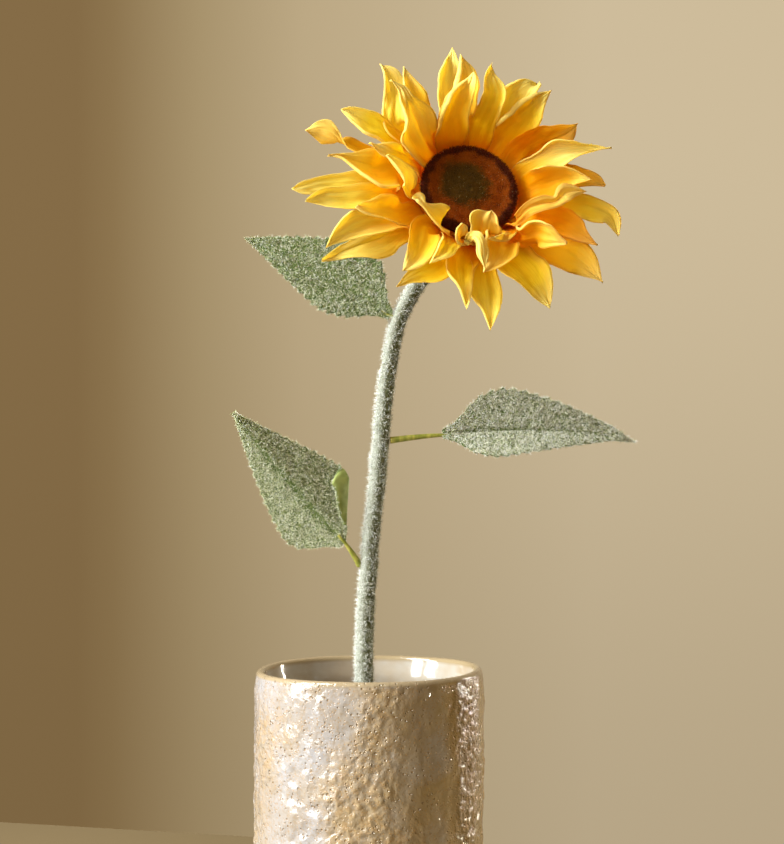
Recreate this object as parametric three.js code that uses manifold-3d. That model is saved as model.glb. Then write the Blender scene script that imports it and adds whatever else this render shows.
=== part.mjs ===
// An artificial sunflower in a stoneware vase: a flocked stem with three leaves and a cloth flower head.
// Millimetres, +Z up. The origin is the middle of the vase's flat underside, and the flower faces -Y.

import * as THREE from "three";
import { mergeVertices } from "three/addons/utils/BufferGeometryUtils.js";
import Module from "manifold-3d";

const wasm = await Module();
wasm.setup();

// The gap that pieces which touch keep between them.
const GAP = 0.3;
// How far the parts of one fused piece run into each other.
const OVERLAP = 0.2;
// Detail finer than this, left over where surfaces cross, is dropped.
const SLIVER = 0.03;
const UP = new THREE.Vector3(0, 0, 1);

// Vase: a thrown cylinder with a rounded lip and a flat underside.
const VASE = {
  height: 160,
  radius: 57,
  rimRadius: 56.2,
  footRadius: 54.5,
  wall: 5.4,
  floor: 8,
  lip: 2.4,
  lipSteps: 4,
  sides: 48,
};

// Stem: it stands on the vase's floor, rests against the front of the rim and nods forward under the flower.
const STEM = { footRadius: 4.7, topRadius: 3.9, sides: 10, steps: 38, socket: 8 };
const STEM_ROUTE = [
  [-2.5, -33.5, VASE.floor + GAP],
  [-2.5, -33.6, 22],
  [-2.1, -38.9, 88],
  [-1.5, -45.2, 150],
  [-0.9, -48.9, 189],
  [0.5, -51, 209],
  [1.8, -52.8, 228],
  [3.8, -54.4, 245],
  [5.8, -55.9, 265],
  [8.3, -57.4, 293],
  [10.9, -58.5, 312],
  [15.2, -59.4, 331],
  [20.8, -60, 342.5],
  [26.8, -61.4, 351.5],
  [33.6, -66.2, 362],
];

// Flower head: its own frame has +Z out of the disc, turned a little to the right and tilted up.
const HEAD = { centre: [45, -107, 383.5], turn: 10.5, tilt: 21.7 };
const DISC = { radius: 21.7, edge: 3.4, ring: 5.2, dip: 3.9, crown: 5.4, sides: 40 };
const PEGS = { count: 64, radius: 0.9, height: 1.2, sunk: 1.2 };
const STUD = { radius: 3.7, reach: 1.7 };
const CUP = { flange: 11, dish: 1.2, neck: 6.2, length: 17.5, sides: 32 };
// The layers of cloth behind the disc: each is threaded on the cup's stud.
const LAYER = 0.8;
const LAYER_STEP = LAYER + GAP;
const LAYER_BORE = STUD.radius + GAP;

// A petal is a tapering blade on a curved spine.
// - root and tip are directions round the disc in degrees, anticlockwise from the viewer's right, and reach is
//   how far the tip lies from the disc's middle, both as seen from the front.
// - rise is the tip's height over the disc's plane, and lift the angle at which the petal leaves it.
// - bow and sway are how far its belly stands forward of, or to the left of, a line from root to tip.
// - cup bends both margins forward, left and right roll one margin further, twist turns the blade about its
//   spine towards the tip, and ripple waves the margins.
const PETAL = {
  rootWidth: 0.5,
  belly: 0.46,
  tipWidth: 0.6,
  rooted: 0.5,
  handles: [0.34, 0.68],
  rows: 7,
  columns: 1,
  rolledColumns: 2,
  rolledFrom: 50,
};
const WHORLS = [
  {
    name: "petals_back",
    rootRadius: 25.2,
    common: { width: 17, lift: 12, bow: 2, sway: 0, cup: 30, left: 0, right: 0, twist: 0, ripple: 0.6 },
    petals: [
      { root: 123, tip: 124, reach: 69, rise: 12, width: 18, sway: 6, left: 60, twist: -20 },
      { root: 100, tip: 95.5, reach: 68, rise: 8, width: 18, sway: 1 },
      { root: 62, tip: 60, reach: 60, rise: 12, width: 19, bow: 8 },
      { root: 27, tip: 22.5, reach: 61, rise: 4 },
      { root: 2, tip: 3.3, reach: 61, rise: 4 },
      { root: 345, tip: 343, reach: 69.5, rise: 2, width: 20, bow: 3, sway: 7 },
      { root: 322, tip: 326, reach: 71.5, rise: 6, width: 20, sway: 2 },
      { root: 300, tip: 304.5, reach: 63, rise: 8, width: 25, sway: -2 },
      { root: 277, tip: 277, reach: 64, rise: 8, width: 14, sway: 1 },
      { root: 247, tip: 233.5, reach: 54, rise: 2, width: 14 },
      { root: 214, tip: 207.5, reach: 72, rise: 4, width: 17 },
      { root: 187, tip: 179.8, reach: 76.5, rise: 5, width: 16 },
      { root: 160, tip: 159.3, reach: 76.5, rise: 8, width: 19, sway: -5, twist: 180 },
      { root: 145, tip: 147, reach: 67, rise: 8, width: 17 },
    ],
  },
  {
    name: "petals_middle",
    rootRadius: 24.2,
    common: { width: 17, lift: 38, bow: 2, sway: 0, cup: 45, left: 0, right: 0, twist: 0, ripple: 0.8 },
    petals: [
      { root: 113, tip: 116.5, reach: 62, rise: 20, width: 15, sway: 3 },
      { root: 101, tip: 93, reach: 62.5, rise: 18, width: 18, sway: 4, left: 60 },
      { root: 70, tip: 79.5, reach: 59, rise: 20, width: 15 },
      { root: 54, tip: 51.5, reach: 60, rise: 16, width: 23, sway: 3, left: 80 },
      { root: 33, tip: 33.2, reach: 58.5, rise: 14, width: 18 },
      { root: 15, tip: 18.5, reach: 67, rise: 14, width: 18, left: 30, right: 70 },
      { root: 1, tip: 5.5, reach: 55.6, rise: 16, width: 16 },
      { root: 334, tip: 338, reach: 62, rise: 12, width: 28, lift: 32, sway: 3, left: 170 },
      { root: 267, tip: 267, reach: 54, rise: 10, width: 12, sway: -1 },
      { root: 242, tip: 230, reach: 46, rise: 12, width: 16 },
      { root: 208, tip: 203.5, reach: 68, rise: 12, width: 17 },
      { root: 192, tip: 185, reach: 70, rise: 12, width: 16, sway: 2 },
      { root: 170, tip: 166.5, reach: 63.5, rise: 14, width: 27, sway: 7, left: 80 },
    ],
  },
  {
    name: "petals_front",
    rootRadius: 23,
    common: { width: 15, lift: 60, bow: -2, sway: 0, cup: 50, left: 0, right: 0, twist: 0, ripple: 1.2 },
    petals: [
      { root: 126, tip: 123.5, reach: 59, rise: 26, width: 19, sway: 3, left: 60 },
      { root: 106, tip: 88.5, reach: 52, rise: 24, width: 17, sway: 6, left: 80 },
      { root: 152, tip: 155.5, reach: 47, rise: 22, width: 12, sway: 2 },
      { root: 184, tip: 156, reach: 40, rise: 28, width: 11, sway: 3 },
      { root: 208, tip: 193, reach: 50, rise: 22, width: 17, sway: 6 },
      { root: 234, tip: 183, reach: 25, rise: 22, width: 12, lift: 78, ripple: 2 },
      { root: 246, tip: 238, reach: 38, rise: 20, width: 13 },
      { root: 261, tip: 257, reach: 17, rise: 24, width: 7 },
      { root: 288, tip: 314, reach: 15, rise: 28, width: 19, cup: 70 },
      { root: 297, tip: 278, reach: 37, rise: 18, width: 20, lift: 52, sway: -2 },
      { root: 311, tip: 297, reach: 23, rise: 22, width: 6, lift: 70 },
      { root: 312, tip: 331.5, reach: 48, rise: 25, width: 14, lift: 66, bow: 2, cup: 30 },
    ],
  },
];

// Sepals: two staggered stars of short green points behind the petals. valley and point are the distances from
// the middle to the notches and the tips, and drop is how far the tips bend back.
const SEPALS = {
  points: 10,
  perPoint: 4,
  bands: 3,
  stars: [
    { valley: 21, point: 42, drop: 5, turn: 0 },
    { valley: 19, point: 37, drop: 12, turn: 0.5 },
  ],
};

// Leaves: base and tip are where the blade begins and ends, and arch is how far its middle stands above that
// line. left and right are its half widths, seen from the base with the face towards the viewer, and fold bends
// both halves towards the face. A flap is a strip of the right margin near the base that has rolled over the
// face.
const BLADE = { thickness: 1, teeth: 14, bite: 0.04, columns: 3, tipWidth: 0.8 };
const FLAP = { columns: 3, angle: 160, least: 0.6 };
const LEAVES = [
  {
    name: "leaf_upper_left",
    joint: [17.2, -59.6, 334],
    base: [10.9, -60.5, 332.2],
    tip: [-57.5, -52, 369.5],
    facing: [-0.1, -0.98, 0.12],
    arch: 2,
    left: { width: 14.5, peak: 0.38 },
    right: { width: 21.5, peak: 0.32 },
    fold: 8,
    flap: 0,
  },
  {
    name: "leaf_lower_left",
    joint: [-3.5, -51.6, 215.5],
    base: [-10.2, -56, 226.4],
    tip: [-61.5, -68, 287.4],
    facing: [-0.15, -0.97, -0.1],
    arch: -2,
    left: { width: 24, peak: 0.24 },
    right: { width: 21.5, peak: 0.34 },
    fold: -14,
    flap: 9,
  },
  {
    name: "leaf_right",
    joint: [10.9, -57, 274.4],
    base: [35.5, -54, 277],
    tip: [127.5, -44, 275],
    facing: [0.02, -0.92, 0.36],
    arch: 2.5,
    left: { width: 21.5, peak: 0.34 },
    right: { width: 16.5, peak: 0.28 },
    fold: 34,
    flap: 0,
  },
];
const STALK = { rootRadius: 1.6, tipRadius: 0.8, sides: 8, steps: 8, tuck: 5 };

const COLOURS = {
  stoneware: { color: 0xcdbfae, roughness: 0.35, metalness: 0 },
  flockedStem: { color: 0x9fa58c, roughness: 0.95, metalness: 0 },
  flockedLeaf: { color: 0x8d9a78, roughness: 0.95, metalness: 0 },
  greenPlastic: { color: 0x94923a, roughness: 0.5, metalness: 0 },
  petalCloth: { color: 0xf0b41e, roughness: 0.6, metalness: 0 },
  discPlush: { color: 0x4a2408, roughness: 0.95, metalness: 0 },
};

const radians = THREE.MathUtils.degToRad;
const smooth = THREE.MathUtils.smoothstep;
const mix = THREE.MathUtils.lerp;
const vector = (p) => new THREE.Vector3(...p);

// Solids and geometries

function solidFrom(geometry) {
  const bare = new THREE.BufferGeometry();
  bare.setAttribute("position", geometry.getAttribute("position"));
  bare.setIndex(geometry.getIndex());
  const merged = mergeVertices(bare, 1e-4);
  return new wasm.Manifold(
    new wasm.Mesh({
      numProp: 3,
      vertProperties: merged.getAttribute("position").array,
      triVerts: new Uint32Array(merged.getIndex().array),
    }),
  );
}

function geometryFrom(solid) {
  const mesh = solid.getMesh();
  const positions = new Float32Array(mesh.numVert * 3);
  for (let i = 0; i < mesh.numVert; i++) {
    positions.set(mesh.vertProperties.subarray(i * mesh.numProp, i * mesh.numProp + 3), i * 3);
  }
  const geometry = new THREE.BufferGeometry();
  geometry.setAttribute("position", new THREE.BufferAttribute(positions, 3));
  geometry.setIndex(new THREE.BufferAttribute(mesh.triVerts, 1));
  geometry.computeVertexNormals();
  return geometry;
}

function geometryOf(points, faces) {
  const geometry = new THREE.BufferGeometry();
  const positions = points.flatMap((point) => point.toArray());
  geometry.setAttribute("position", new THREE.Float32BufferAttribute(positions, 3));
  geometry.setIndex(faces);
  return geometry;
}

function joined(solids) {
  return solids.reduce((sum, solid) => sum.add(solid));
}

// The largest body of a solid, without its slivers: a cut can leave loose scraps behind.
function largest(solid) {
  const bodies = solid.decompose();
  return bodies.reduce((best, body) => (body.volume() > best.volume() ? body : best)).simplify(SLIVER);
}

function mesh(name, geometry, look) {
  const made = new THREE.Mesh(geometry, new THREE.MeshStandardMaterial(look));
  made.name = name;
  return made;
}

// A solid of revolution about +Z, from [radius, height] points that run anticlockwise round the section.
function turned(section, sides) {
  const points = section.map(([radius, height]) => new THREE.Vector2(radius, height));
  return new THREE.LatheGeometry(points, sides).rotateX(Math.PI / 2);
}

// A closed body through rings of points, capped flat at both ends.
function lofted(rings) {
  const sides = rings[0].length;
  const faces = [];
  for (let i = 0; i + 1 < rings.length; i++) {
    for (let j = 0; j < sides; j++) {
      const a = i * sides + j;
      const b = i * sides + ((j + 1) % sides);
      faces.push(a, b, b + sides, a, b + sides, a + sides);
    }
  }
  const last = (rings.length - 1) * sides;
  for (let j = 1; j + 1 < sides; j++) {
    faces.push(0, j + 1, j, last, last + j, last + j + 1);
  }
  return geometryOf(rings.flat(), faces);
}

// A closed body through rings of points, whose last ring joins the first.
function tyre(rings) {
  const sides = rings[0].length;
  const faces = [];
  for (let i = 0; i < rings.length; i++) {
    const next = ((i + 1) % rings.length) * sides;
    for (let j = 0; j < sides; j++) {
      const k = (j + 1) % sides;
      faces.push(i * sides + j, i * sides + k, next + k, i * sides + j, next + k, next + j);
    }
  }
  return geometryOf(rings.flat(), faces);
}

// A tapering limb along a curve. With a level foot its first ring lies flat.
function limb(curve, radiusAt, sides, steps, levelFoot) {
  const frames = curve.computeFrenetFrames(steps, false);
  const rings = [];
  for (let i = 0; i <= steps; i++) {
    const centre = curve.getPointAt(i / steps);
    const radius = radiusAt(i / steps);
    const ring = [];
    for (let j = 0; j < sides; j++) {
      const angle = (2 * Math.PI * j) / sides;
      const point = centre
        .clone()
        .addScaledVector(frames.normals[i], radius * Math.cos(angle))
        .addScaledVector(frames.binormals[i], radius * Math.sin(angle));
      if (levelFoot && i === 0) point.z = centre.z;
      ring.push(point);
    }
    rings.push(ring);
  }
  return lofted(rings);
}

// A blade of even thickness from a grid of surface points: grid[row][column].
function slab(grid, thickness) {
  const rows = grid.length;
  const columns = grid[0].length;
  const clamp = THREE.MathUtils.clamp;
  const at = (i, j) => grid[clamp(i, 0, rows - 1)][clamp(j, 0, columns - 1)];
  const front = [];
  const back = [];
  for (let i = 0; i < rows; i++) {
    for (let j = 0; j < columns; j++) {
      const along = at(i + 1, j).clone().sub(at(i - 1, j));
      const across = at(i, j + 1).clone().sub(at(i, j - 1));
      const normal = across.cross(along).normalize();
      front.push(at(i, j).clone().addScaledVector(normal, thickness / 2));
      back.push(at(i, j).clone().addScaledVector(normal, -thickness / 2));
    }
  }
  const count = rows * columns;
  const faces = [];
  const quad = (a, b, c, d) => faces.push(a, b, c, a, c, d);
  for (let i = 0; i + 1 < rows; i++) {
    for (let j = 0; j + 1 < columns; j++) {
      const a = i * columns + j;
      quad(a, a + 1, a + columns + 1, a + columns);
      quad(a + count, a + columns + count, a + columns + 1 + count, a + 1 + count);
    }
  }
  const border = [];
  for (let j = 0; j < columns; j++) border.push(j);
  for (let i = 1; i < rows; i++) border.push(i * columns + columns - 1);
  for (let j = columns - 2; j >= 0; j--) border.push((rows - 1) * columns + j);
  for (let i = rows - 2; i > 0; i--) border.push(i * columns);
  border.forEach((a, i) => {
    const b = border[(i + 1) % border.length];
    quad(b, a, a + count, b + count);
  });
  return geometryOf([...front, ...back], faces);
}

// Points across half of a blade, from its spine outwards. Each step is turned out of the blade's plane by the
// angle that bendAt gives for its share of the way, and reach is negative for the other half.
function halfRow(middle, side, face, reach, steps, bendAt) {
  const point = middle.clone();
  const row = [];
  for (let j = 1; j <= steps; j++) {
    const bend = radians(bendAt((j - 0.5) / steps));
    point.addScaledVector(side, (reach * Math.cos(bend)) / steps);
    point.addScaledVector(face, (Math.abs(reach) * Math.sin(bend)) / steps);
    row.push(point.clone());
  }
  return row;
}

// Vase

function vase() {
  const { height, radius, rimRadius, footRadius, wall, floor, lip, lipSteps, sides } = VASE;
  const inner = radius - wall;
  const section = [
    [0, 0],
    [footRadius - 2, 0],
    [footRadius, 1.5],
    [radius - 0.8, 8],
    [radius, 22],
    [radius, height * 0.8],
    [rimRadius, height - lip],
  ];
  for (let i = 1; i <= lipSteps; i++) {
    const angle = (Math.PI * i) / lipSteps;
    const inward = (wall / 2) * (1 - Math.cos(angle));
    section.push([rimRadius - inward, height - lip + lip * Math.sin(angle)]);
  }
  section.push([inner, height * 0.8], [inner, floor + 14], [inner - 4, floor + 3]);
  section.push([inner - 12, floor], [0, floor]);
  return solidFrom(turned(section, sides));
}

// Stem

function stemCurve(head) {
  const out = UP.clone().applyQuaternion(head.quaternion);
  const end = head.position.clone().addScaledVector(out, cupTop() - CUP.length + STEM.socket - GAP);
  const neck = end.clone().addScaledVector(out, -STEM.socket - 3);
  return new THREE.CatmullRomCurve3([...STEM_ROUTE.map(vector), neck, end], false, "centripetal");
}

// The stem's solid, with its surface moved out by grow.
function stem(curve, grow) {
  const radiusAt = (t) => mix(STEM.footRadius, STEM.topRadius, t) + grow;
  return solidFrom(limb(curve, radiusAt, STEM.sides, STEM.steps, true));
}

// Flower head

// Where a point lies in the head's own frame that is seen at this direction and distance from the disc's
// middle, and stands at this height over the disc's plane.
function seen(direction, reach, rise, head) {
  const right = new THREE.Vector3(1, 0, 0).applyQuaternion(head.quaternion);
  const over = new THREE.Vector3(0, 1, 0).applyQuaternion(head.quaternion);
  const out = UP.clone().applyQuaternion(head.quaternion);
  const z = reach * Math.sin(radians(direction));
  const x = reach * Math.cos(radians(direction));
  const b = (z - rise * out.z) / over.z;
  const a = (x - b * over.x - rise * out.x) / right.x;
  return new THREE.Vector3(a, b, rise);
}

// Half the blade's width at a share of its length, as a share of its widest.
function petalTaper(s) {
  const { rootWidth, belly } = PETAL;
  if (s < belly) return mix(rootWidth, 1, smooth(s, 0, belly));
  return (1 - ((s - belly) / (1 - belly)) ** 1.8) ** 1.2;
}

// The grid of points over a petal's surface, with this many columns on either side of its spine. Its root lies
// at this radius and height.
function petalGrid(shape, rootRadius, height, columns, head) {
  const { root, tip, reach, rise, width, lift, bow, sway, cup, left, right, twist, ripple } = shape;
  const [near, far] = PETAL.handles;
  const radial = new THREE.Vector3(Math.cos(radians(root)), Math.sin(radians(root)), 0);
  const aside = UP.clone().cross(radial);
  const from = radial.clone().multiplyScalar(rootRadius).addScaledVector(UP, height);
  const to = seen(tip, reach, rise, head);
  const chord = to.clone().sub(from);
  const leave = radial
    .clone()
    .multiplyScalar(Math.cos(radians(lift)))
    .addScaledVector(UP, Math.sin(radians(lift)));
  const sideways = UP.clone().cross(chord).normalize();
  const forward = chord.clone().cross(sideways).normalize();
  const spine = new THREE.CubicBezierCurve3(
    from,
    from.clone().addScaledVector(leave, chord.length() * near),
    from.clone().addScaledVector(chord, far).addScaledVector(forward, bow).addScaledVector(sideways, sway),
    to,
  );
  const grid = [];
  for (let i = 0; i <= PETAL.rows; i++) {
    const s = i / PETAL.rows;
    const middle = spine.getPoint(s);
    const along = spine.getTangent(s);
    const side = aside.clone().addScaledVector(along, -aside.dot(along)).normalize();
    side.applyAxisAngle(along, radians(twist * s * s));
    const face = along.clone().cross(side);
    const reached = Math.max((width / 2) * petalTaper(s), PETAL.tipWidth / 2);
    const loose = smooth(s, 0.05, 0.5);
    const half = (sign, margin) => {
      const bendAt = (v) => cup * v + margin * loose * v * v;
      const row = halfRow(middle, side, face, sign * reached, columns, bendAt);
      const wave = Math.sin(2 * Math.PI * (1.5 * s + 0.23 * sign) + root) * ripple * loose;
      return row.map((point, j) => point.addScaledVector(face, wave * ((j + 1) / row.length) ** 2));
    };
    grid.push([...half(1, left).reverse(), middle, ...half(-1, right)]);
  }
  return grid;
}

function washer(radius, top, thickness) {
  const section = [
    [LAYER_BORE, top - thickness],
    [radius, top - thickness],
    [radius, top],
    [LAYER_BORE, top],
    [LAYER_BORE, top - thickness],
  ];
  return solidFrom(turned(section, DISC.sides));
}

// A whorl of petals, cut from one layer of cloth: they are joined to a washer that sits under the disc.
function whorl(spec, layer, thickness, head) {
  const middle = -GAP - LAYER / 2 - LAYER_STEP * layer;
  const petals = spec.petals.map((own) => {
    const shape = { ...spec.common, ...own };
    const rolled = shape.left + shape.right > PETAL.rolledFrom;
    const columns = rolled ? PETAL.rolledColumns : PETAL.columns;
    const grid = petalGrid(shape, spec.rootRadius - PETAL.rooted, middle, columns, head);
    return solidFrom(slab(grid, thickness));
  });
  return joined([washer(spec.rootRadius, middle + thickness / 2, thickness), ...petals]);
}

// The room that the disc takes.
function discRoom() {
  const radius = DISC.radius + GAP;
  const height = DISC.ring + PEGS.height + GAP;
  return solidFrom(turned([[0, 0], [radius, 0], [radius, height], [0, height]], DISC.sides));
}

// The whorls from back to front, each cut clear of the disc and of the whorls behind it.
function whorls(head) {
  const cutters = [discRoom()];
  return WHORLS.map((spec, i) => {
    const layer = WHORLS.length - 1 - i;
    const whole = whorl(spec, layer, LAYER, head);
    const solid = largest(cutters.reduce((left, cutter) => left.subtract(cutter), whole));
    cutters.push(whorl(spec, layer, LAYER + 2 * GAP, head));
    return { name: spec.name, solid };
  });
}

// The sepals: stars that droop towards their tips, pointed there and rounded at the notches.
function sepals() {
  const { points, perPoint, bands, stars } = SEPALS;
  const firstTop = -GAP - LAYER_STEP * WHORLS.length;
  const bodies = stars.map((star, n) => {
    const top = firstTop - n * (LAYER - OVERLAP);
    const ring = (share, lift) => {
      const line = [];
      for (let j = 0; j < points * perPoint; j++) {
        const angle = (2 * Math.PI * (j / perPoint + star.turn)) / points;
        const offNotch = Math.abs(2 * ((j / perPoint) % 1) - 1);
        const r = mix(LAYER_BORE, mix(star.valley, star.point, offNotch ** 1.5), share);
        const fall = star.drop * (r / star.point) ** 2;
        line.push(new THREE.Vector3(r * Math.cos(angle), r * Math.sin(angle), top - fall + lift));
      }
      return line;
    };
    const rings = [];
    for (let i = 0; i <= bands; i++) rings.push(ring(i / bands, -LAYER));
    for (let i = bands; i >= 0; i--) rings.push(ring(i / bands, 0));
    return solidFrom(tyre(rings));
  });
  return joined(bodies);
}

// How high the disc stands at a share of its radius.
function discHeight(share) {
  const { ring, dip, crown } = DISC;
  return share > 0.66 ? mix(dip, ring, smooth(share, 0.66, 0.9)) : mix(crown, dip, share / 0.66);
}

// The plush disc: a shallow bowl with a raised rim and a low crown, set with pegs in a sunflower's spiral.
function seedDisc() {
  const { radius, edge, sides } = DISC;
  const blind = STUD.reach + GAP;
  const top = [0.91, 0.78, 0.66, 0.4, 0].map((share) => [radius * share, discHeight(share)]);
  const section = [
    [0, blind],
    [LAYER_BORE, blind],
    [LAYER_BORE, 0],
    [radius - 1, 0],
    [radius, 1],
    [radius, edge],
    ...top,
  ];
  const goldenAngle = Math.PI * (3 - Math.sqrt(5));
  const pegs = [];
  for (let i = 0; i < PEGS.count; i++) {
    const share = 0.93 * Math.sqrt((i + 0.5) / PEGS.count);
    const peg = new THREE.ConeGeometry(PEGS.radius, PEGS.height + PEGS.sunk, 4).rotateX(Math.PI / 2);
    const height = discHeight(share) + (PEGS.height - PEGS.sunk) / 2;
    const angle = i * goldenAngle;
    peg.translate(radius * share * Math.cos(angle), radius * share * Math.sin(angle), height);
    pegs.push(solidFrom(peg));
  }
  return joined([solidFrom(turned(section, sides)), ...pegs]);
}

// How far out of the disc's plane the cup begins: it lies behind the whorls and the two stars of sepals.
function cupTop() {
  return -LAYER_STEP * (WHORLS.length + 1) - LAYER - GAP;
}

// The plastic cup behind the head, with a socket for the stem and a stud that carries the layers and the disc.
function cup() {
  const top = cupTop();
  const bottom = top - CUP.length;
  const bore = STEM.topRadius + GAP;
  const section = [
    [0, bottom + STEM.socket],
    [bore, bottom + STEM.socket],
    [bore, bottom],
    [CUP.neck, bottom],
    [CUP.neck + 0.6, bottom + 5],
    [CUP.flange * 0.8, top - 6],
    [CUP.flange, top - CUP.dish - 1.6],
    [CUP.flange, top - CUP.dish],
    [STUD.radius, top],
    [STUD.radius, STUD.reach],
    [0, STUD.reach],
  ];
  return solidFrom(turned(section, CUP.sides));
}

// Leaves

// A leaf's half width at a share of its length, as a share of its widest, which lies at the peak.
function leafTaper(s, peak) {
  const rise = smooth(s, -0.18, peak) * (0.45 + 0.55 * smooth(s, 0, peak * 0.6));
  const past = Math.max(0, (s - peak) / (1 - peak));
  return rise * (1 - past ** 1.25) ** 1.05;
}

// A leaf's blade, with two rows of points to each tooth.
function blade(leaf) {
  const base = vector(leaf.base);
  const tip = vector(leaf.tip);
  const chord = tip.clone().sub(base);
  const across = chord.clone().cross(vector(leaf.facing)).normalize();
  const face = across.clone().cross(chord).normalize();
  const belly = base.clone().addScaledVector(chord, 0.5);
  belly.addScaledVector(UP, 2 * leaf.arch).addScaledVector(face, 0.6 * leaf.arch);
  const spine = new THREE.QuadraticBezierCurve3(base, belly, tip);
  const rows = 2 * BLADE.teeth;
  const grid = [];
  for (let i = 0; i <= rows; i++) {
    const s = i / rows;
    const middle = spine.getPoint(s);
    const along = spine.getTangent(s);
    const side = across.clone().addScaledVector(along, -across.dot(along)).normalize();
    const out = side.clone().cross(along);
    const tooth = i % 2 === 0 ? -BLADE.bite : BLADE.bite;
    const flapped = smooth(s, 0.08, 0.25) * (1 - smooth(s, 0.28, 0.33));
    const half = (sign, { width, peak }, flap) => {
      const reach = Math.max(width * leafTaper(s, peak), BLADE.tipWidth / 2);
      const row = halfRow(middle, side, out, sign * reach, BLADE.columns, () => leaf.fold);
      if (flap > 0) {
        const angle = FLAP.angle * Math.min(1, 4 * flapped);
        const bendAt = (v) => leaf.fold + angle * Math.min(1, 0.25 + 1.5 * v);
        const rolled = Math.max(flap * flapped, FLAP.least);
        row.push(...halfRow(row.at(-1), side, out, rolled, FLAP.columns, bendAt));
      }
      const outward = row.at(-1).clone().sub(row.at(-2)).normalize();
      row.at(-1).addScaledVector(outward, reach * tooth);
      return row;
    };
    grid.push([...half(1, leaf.right, leaf.flap).reverse(), middle, ...half(-1, leaf.left, 0)]);
  }
  return solidFrom(slab(grid, BLADE.thickness));
}

// A leaf's stalk, from inside the stem to a little way into the blade, with its surface moved out by grow.
function stalk(leaf, grow) {
  const base = vector(leaf.base);
  const inward = vector(leaf.tip).sub(base).normalize();
  const end = base.clone().addScaledVector(inward, STALK.tuck);
  const bend = base.clone().addScaledVector(inward, -STALK.tuck);
  const curve = new THREE.QuadraticBezierCurve3(vector(leaf.joint), bend, end);
  const radiusAt = (t) => mix(STALK.rootRadius, STALK.tipRadius, Math.min(1, 1.3 * t)) + grow;
  return solidFrom(limb(curve, radiusAt, STALK.sides, STALK.steps, false));
}

// The whole plant and its vase

const part = new THREE.Group();
part.name = "sunflower_in_vase";
part.add(mesh("vase", geometryFrom(vase()), COLOURS.stoneware));

const head = new THREE.Group();
head.position.set(...HEAD.centre);
head.rotateZ(radians(HEAD.turn));
head.rotateX(Math.PI / 2 - radians(HEAD.tilt));
part.add(head);

const curve = stemCurve(head);
part.add(mesh("stem", geometryFrom(stem(curve, 0)), COLOURS.flockedStem));

for (const { name, solid } of whorls(head)) {
  head.add(mesh(name, geometryFrom(solid), COLOURS.petalCloth));
}
head.add(mesh("sepals", geometryFrom(sepals()), COLOURS.flockedLeaf));
head.add(mesh("seed_disc", geometryFrom(seedDisc()), COLOURS.discPlush));
head.add(mesh("flower_cup", geometryFrom(cup()), COLOURS.greenPlastic));

const stemRoom = stem(curve, GAP);
for (const leaf of LEAVES) {
  const stalkSolid = largest(stalk(leaf, 0).subtract(stemRoom));
  const bladeSolid = largest(blade(leaf).subtract(stalk(leaf, GAP)).subtract(stemRoom));
  part.add(mesh(leaf.name, geometryFrom(bladeSolid), COLOURS.flockedLeaf));
  part.add(mesh(leaf.name + "_stalk", geometryFrom(stalkSolid), COLOURS.greenPlastic));
}

export default part;
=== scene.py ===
import math
from typing import NamedTuple

import bpy
import numpy as np
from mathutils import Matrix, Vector


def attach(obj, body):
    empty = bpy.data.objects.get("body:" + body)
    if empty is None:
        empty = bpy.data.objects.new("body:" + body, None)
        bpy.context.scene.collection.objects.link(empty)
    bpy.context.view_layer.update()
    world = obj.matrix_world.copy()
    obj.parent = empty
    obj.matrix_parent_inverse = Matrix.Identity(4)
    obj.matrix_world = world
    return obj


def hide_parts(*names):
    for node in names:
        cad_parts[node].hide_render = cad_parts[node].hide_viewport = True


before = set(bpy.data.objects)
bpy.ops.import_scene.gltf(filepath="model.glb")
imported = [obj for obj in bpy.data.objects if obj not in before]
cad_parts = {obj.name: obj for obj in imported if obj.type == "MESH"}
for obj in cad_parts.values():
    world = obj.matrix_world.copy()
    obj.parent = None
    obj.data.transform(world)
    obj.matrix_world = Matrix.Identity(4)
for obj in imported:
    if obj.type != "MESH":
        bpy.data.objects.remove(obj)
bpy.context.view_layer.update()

MM = 0.001
UP = np.array([0.0, 0.0, 1.0])

# The photograph's frame: 784 x 844 pixels, a level camera, half a millimetre to a pixel at the vase's axis.
CAMERA = {"place": (11.75, -900.0, 283.0), "focal_px": 1800.0, "long_side_px": 844.0, "sensor_mm": 36.0}

VASE = {"height": 160.0, "radius": 57.0, "rim_radius": 56.2, "foot_radius": 54.5, "wall": 5.4, "floor": 8.0,
        "lip": 2.2, "flare": 1.6, "shoulder": 12.0, "sides": 400, "even_within": 20.0}
STEM_ROUTE = [
    (-2.5, -33.5, 8.3), (-2.5, -33.6, 22), (-2.1, -38.9, 88), (-1.5, -45.2, 150), (-0.9, -48.9, 189),
    (0.5, -51, 209), (1.8, -52.8, 228), (3.8, -54.4, 245), (5.8, -55.9, 265), (8.3, -57.4, 293),
    (10.9, -58.5, 312), (15.2, -59.4, 331), (20.8, -60, 342.5), (26.8, -61.4, 351.5), (33.6, -66.2, 362),
]
STEM = {"foot_radius": 4.7, "top_radius": 3.9, "fuzz": 0.35, "socket": 8.0, "rows": 300, "sides": 28,
        "fibres": 25000}
HEAD = {"centre": (45.0, -107.0, 383.5), "turn": 10.5, "tilt": 21.7}
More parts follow.
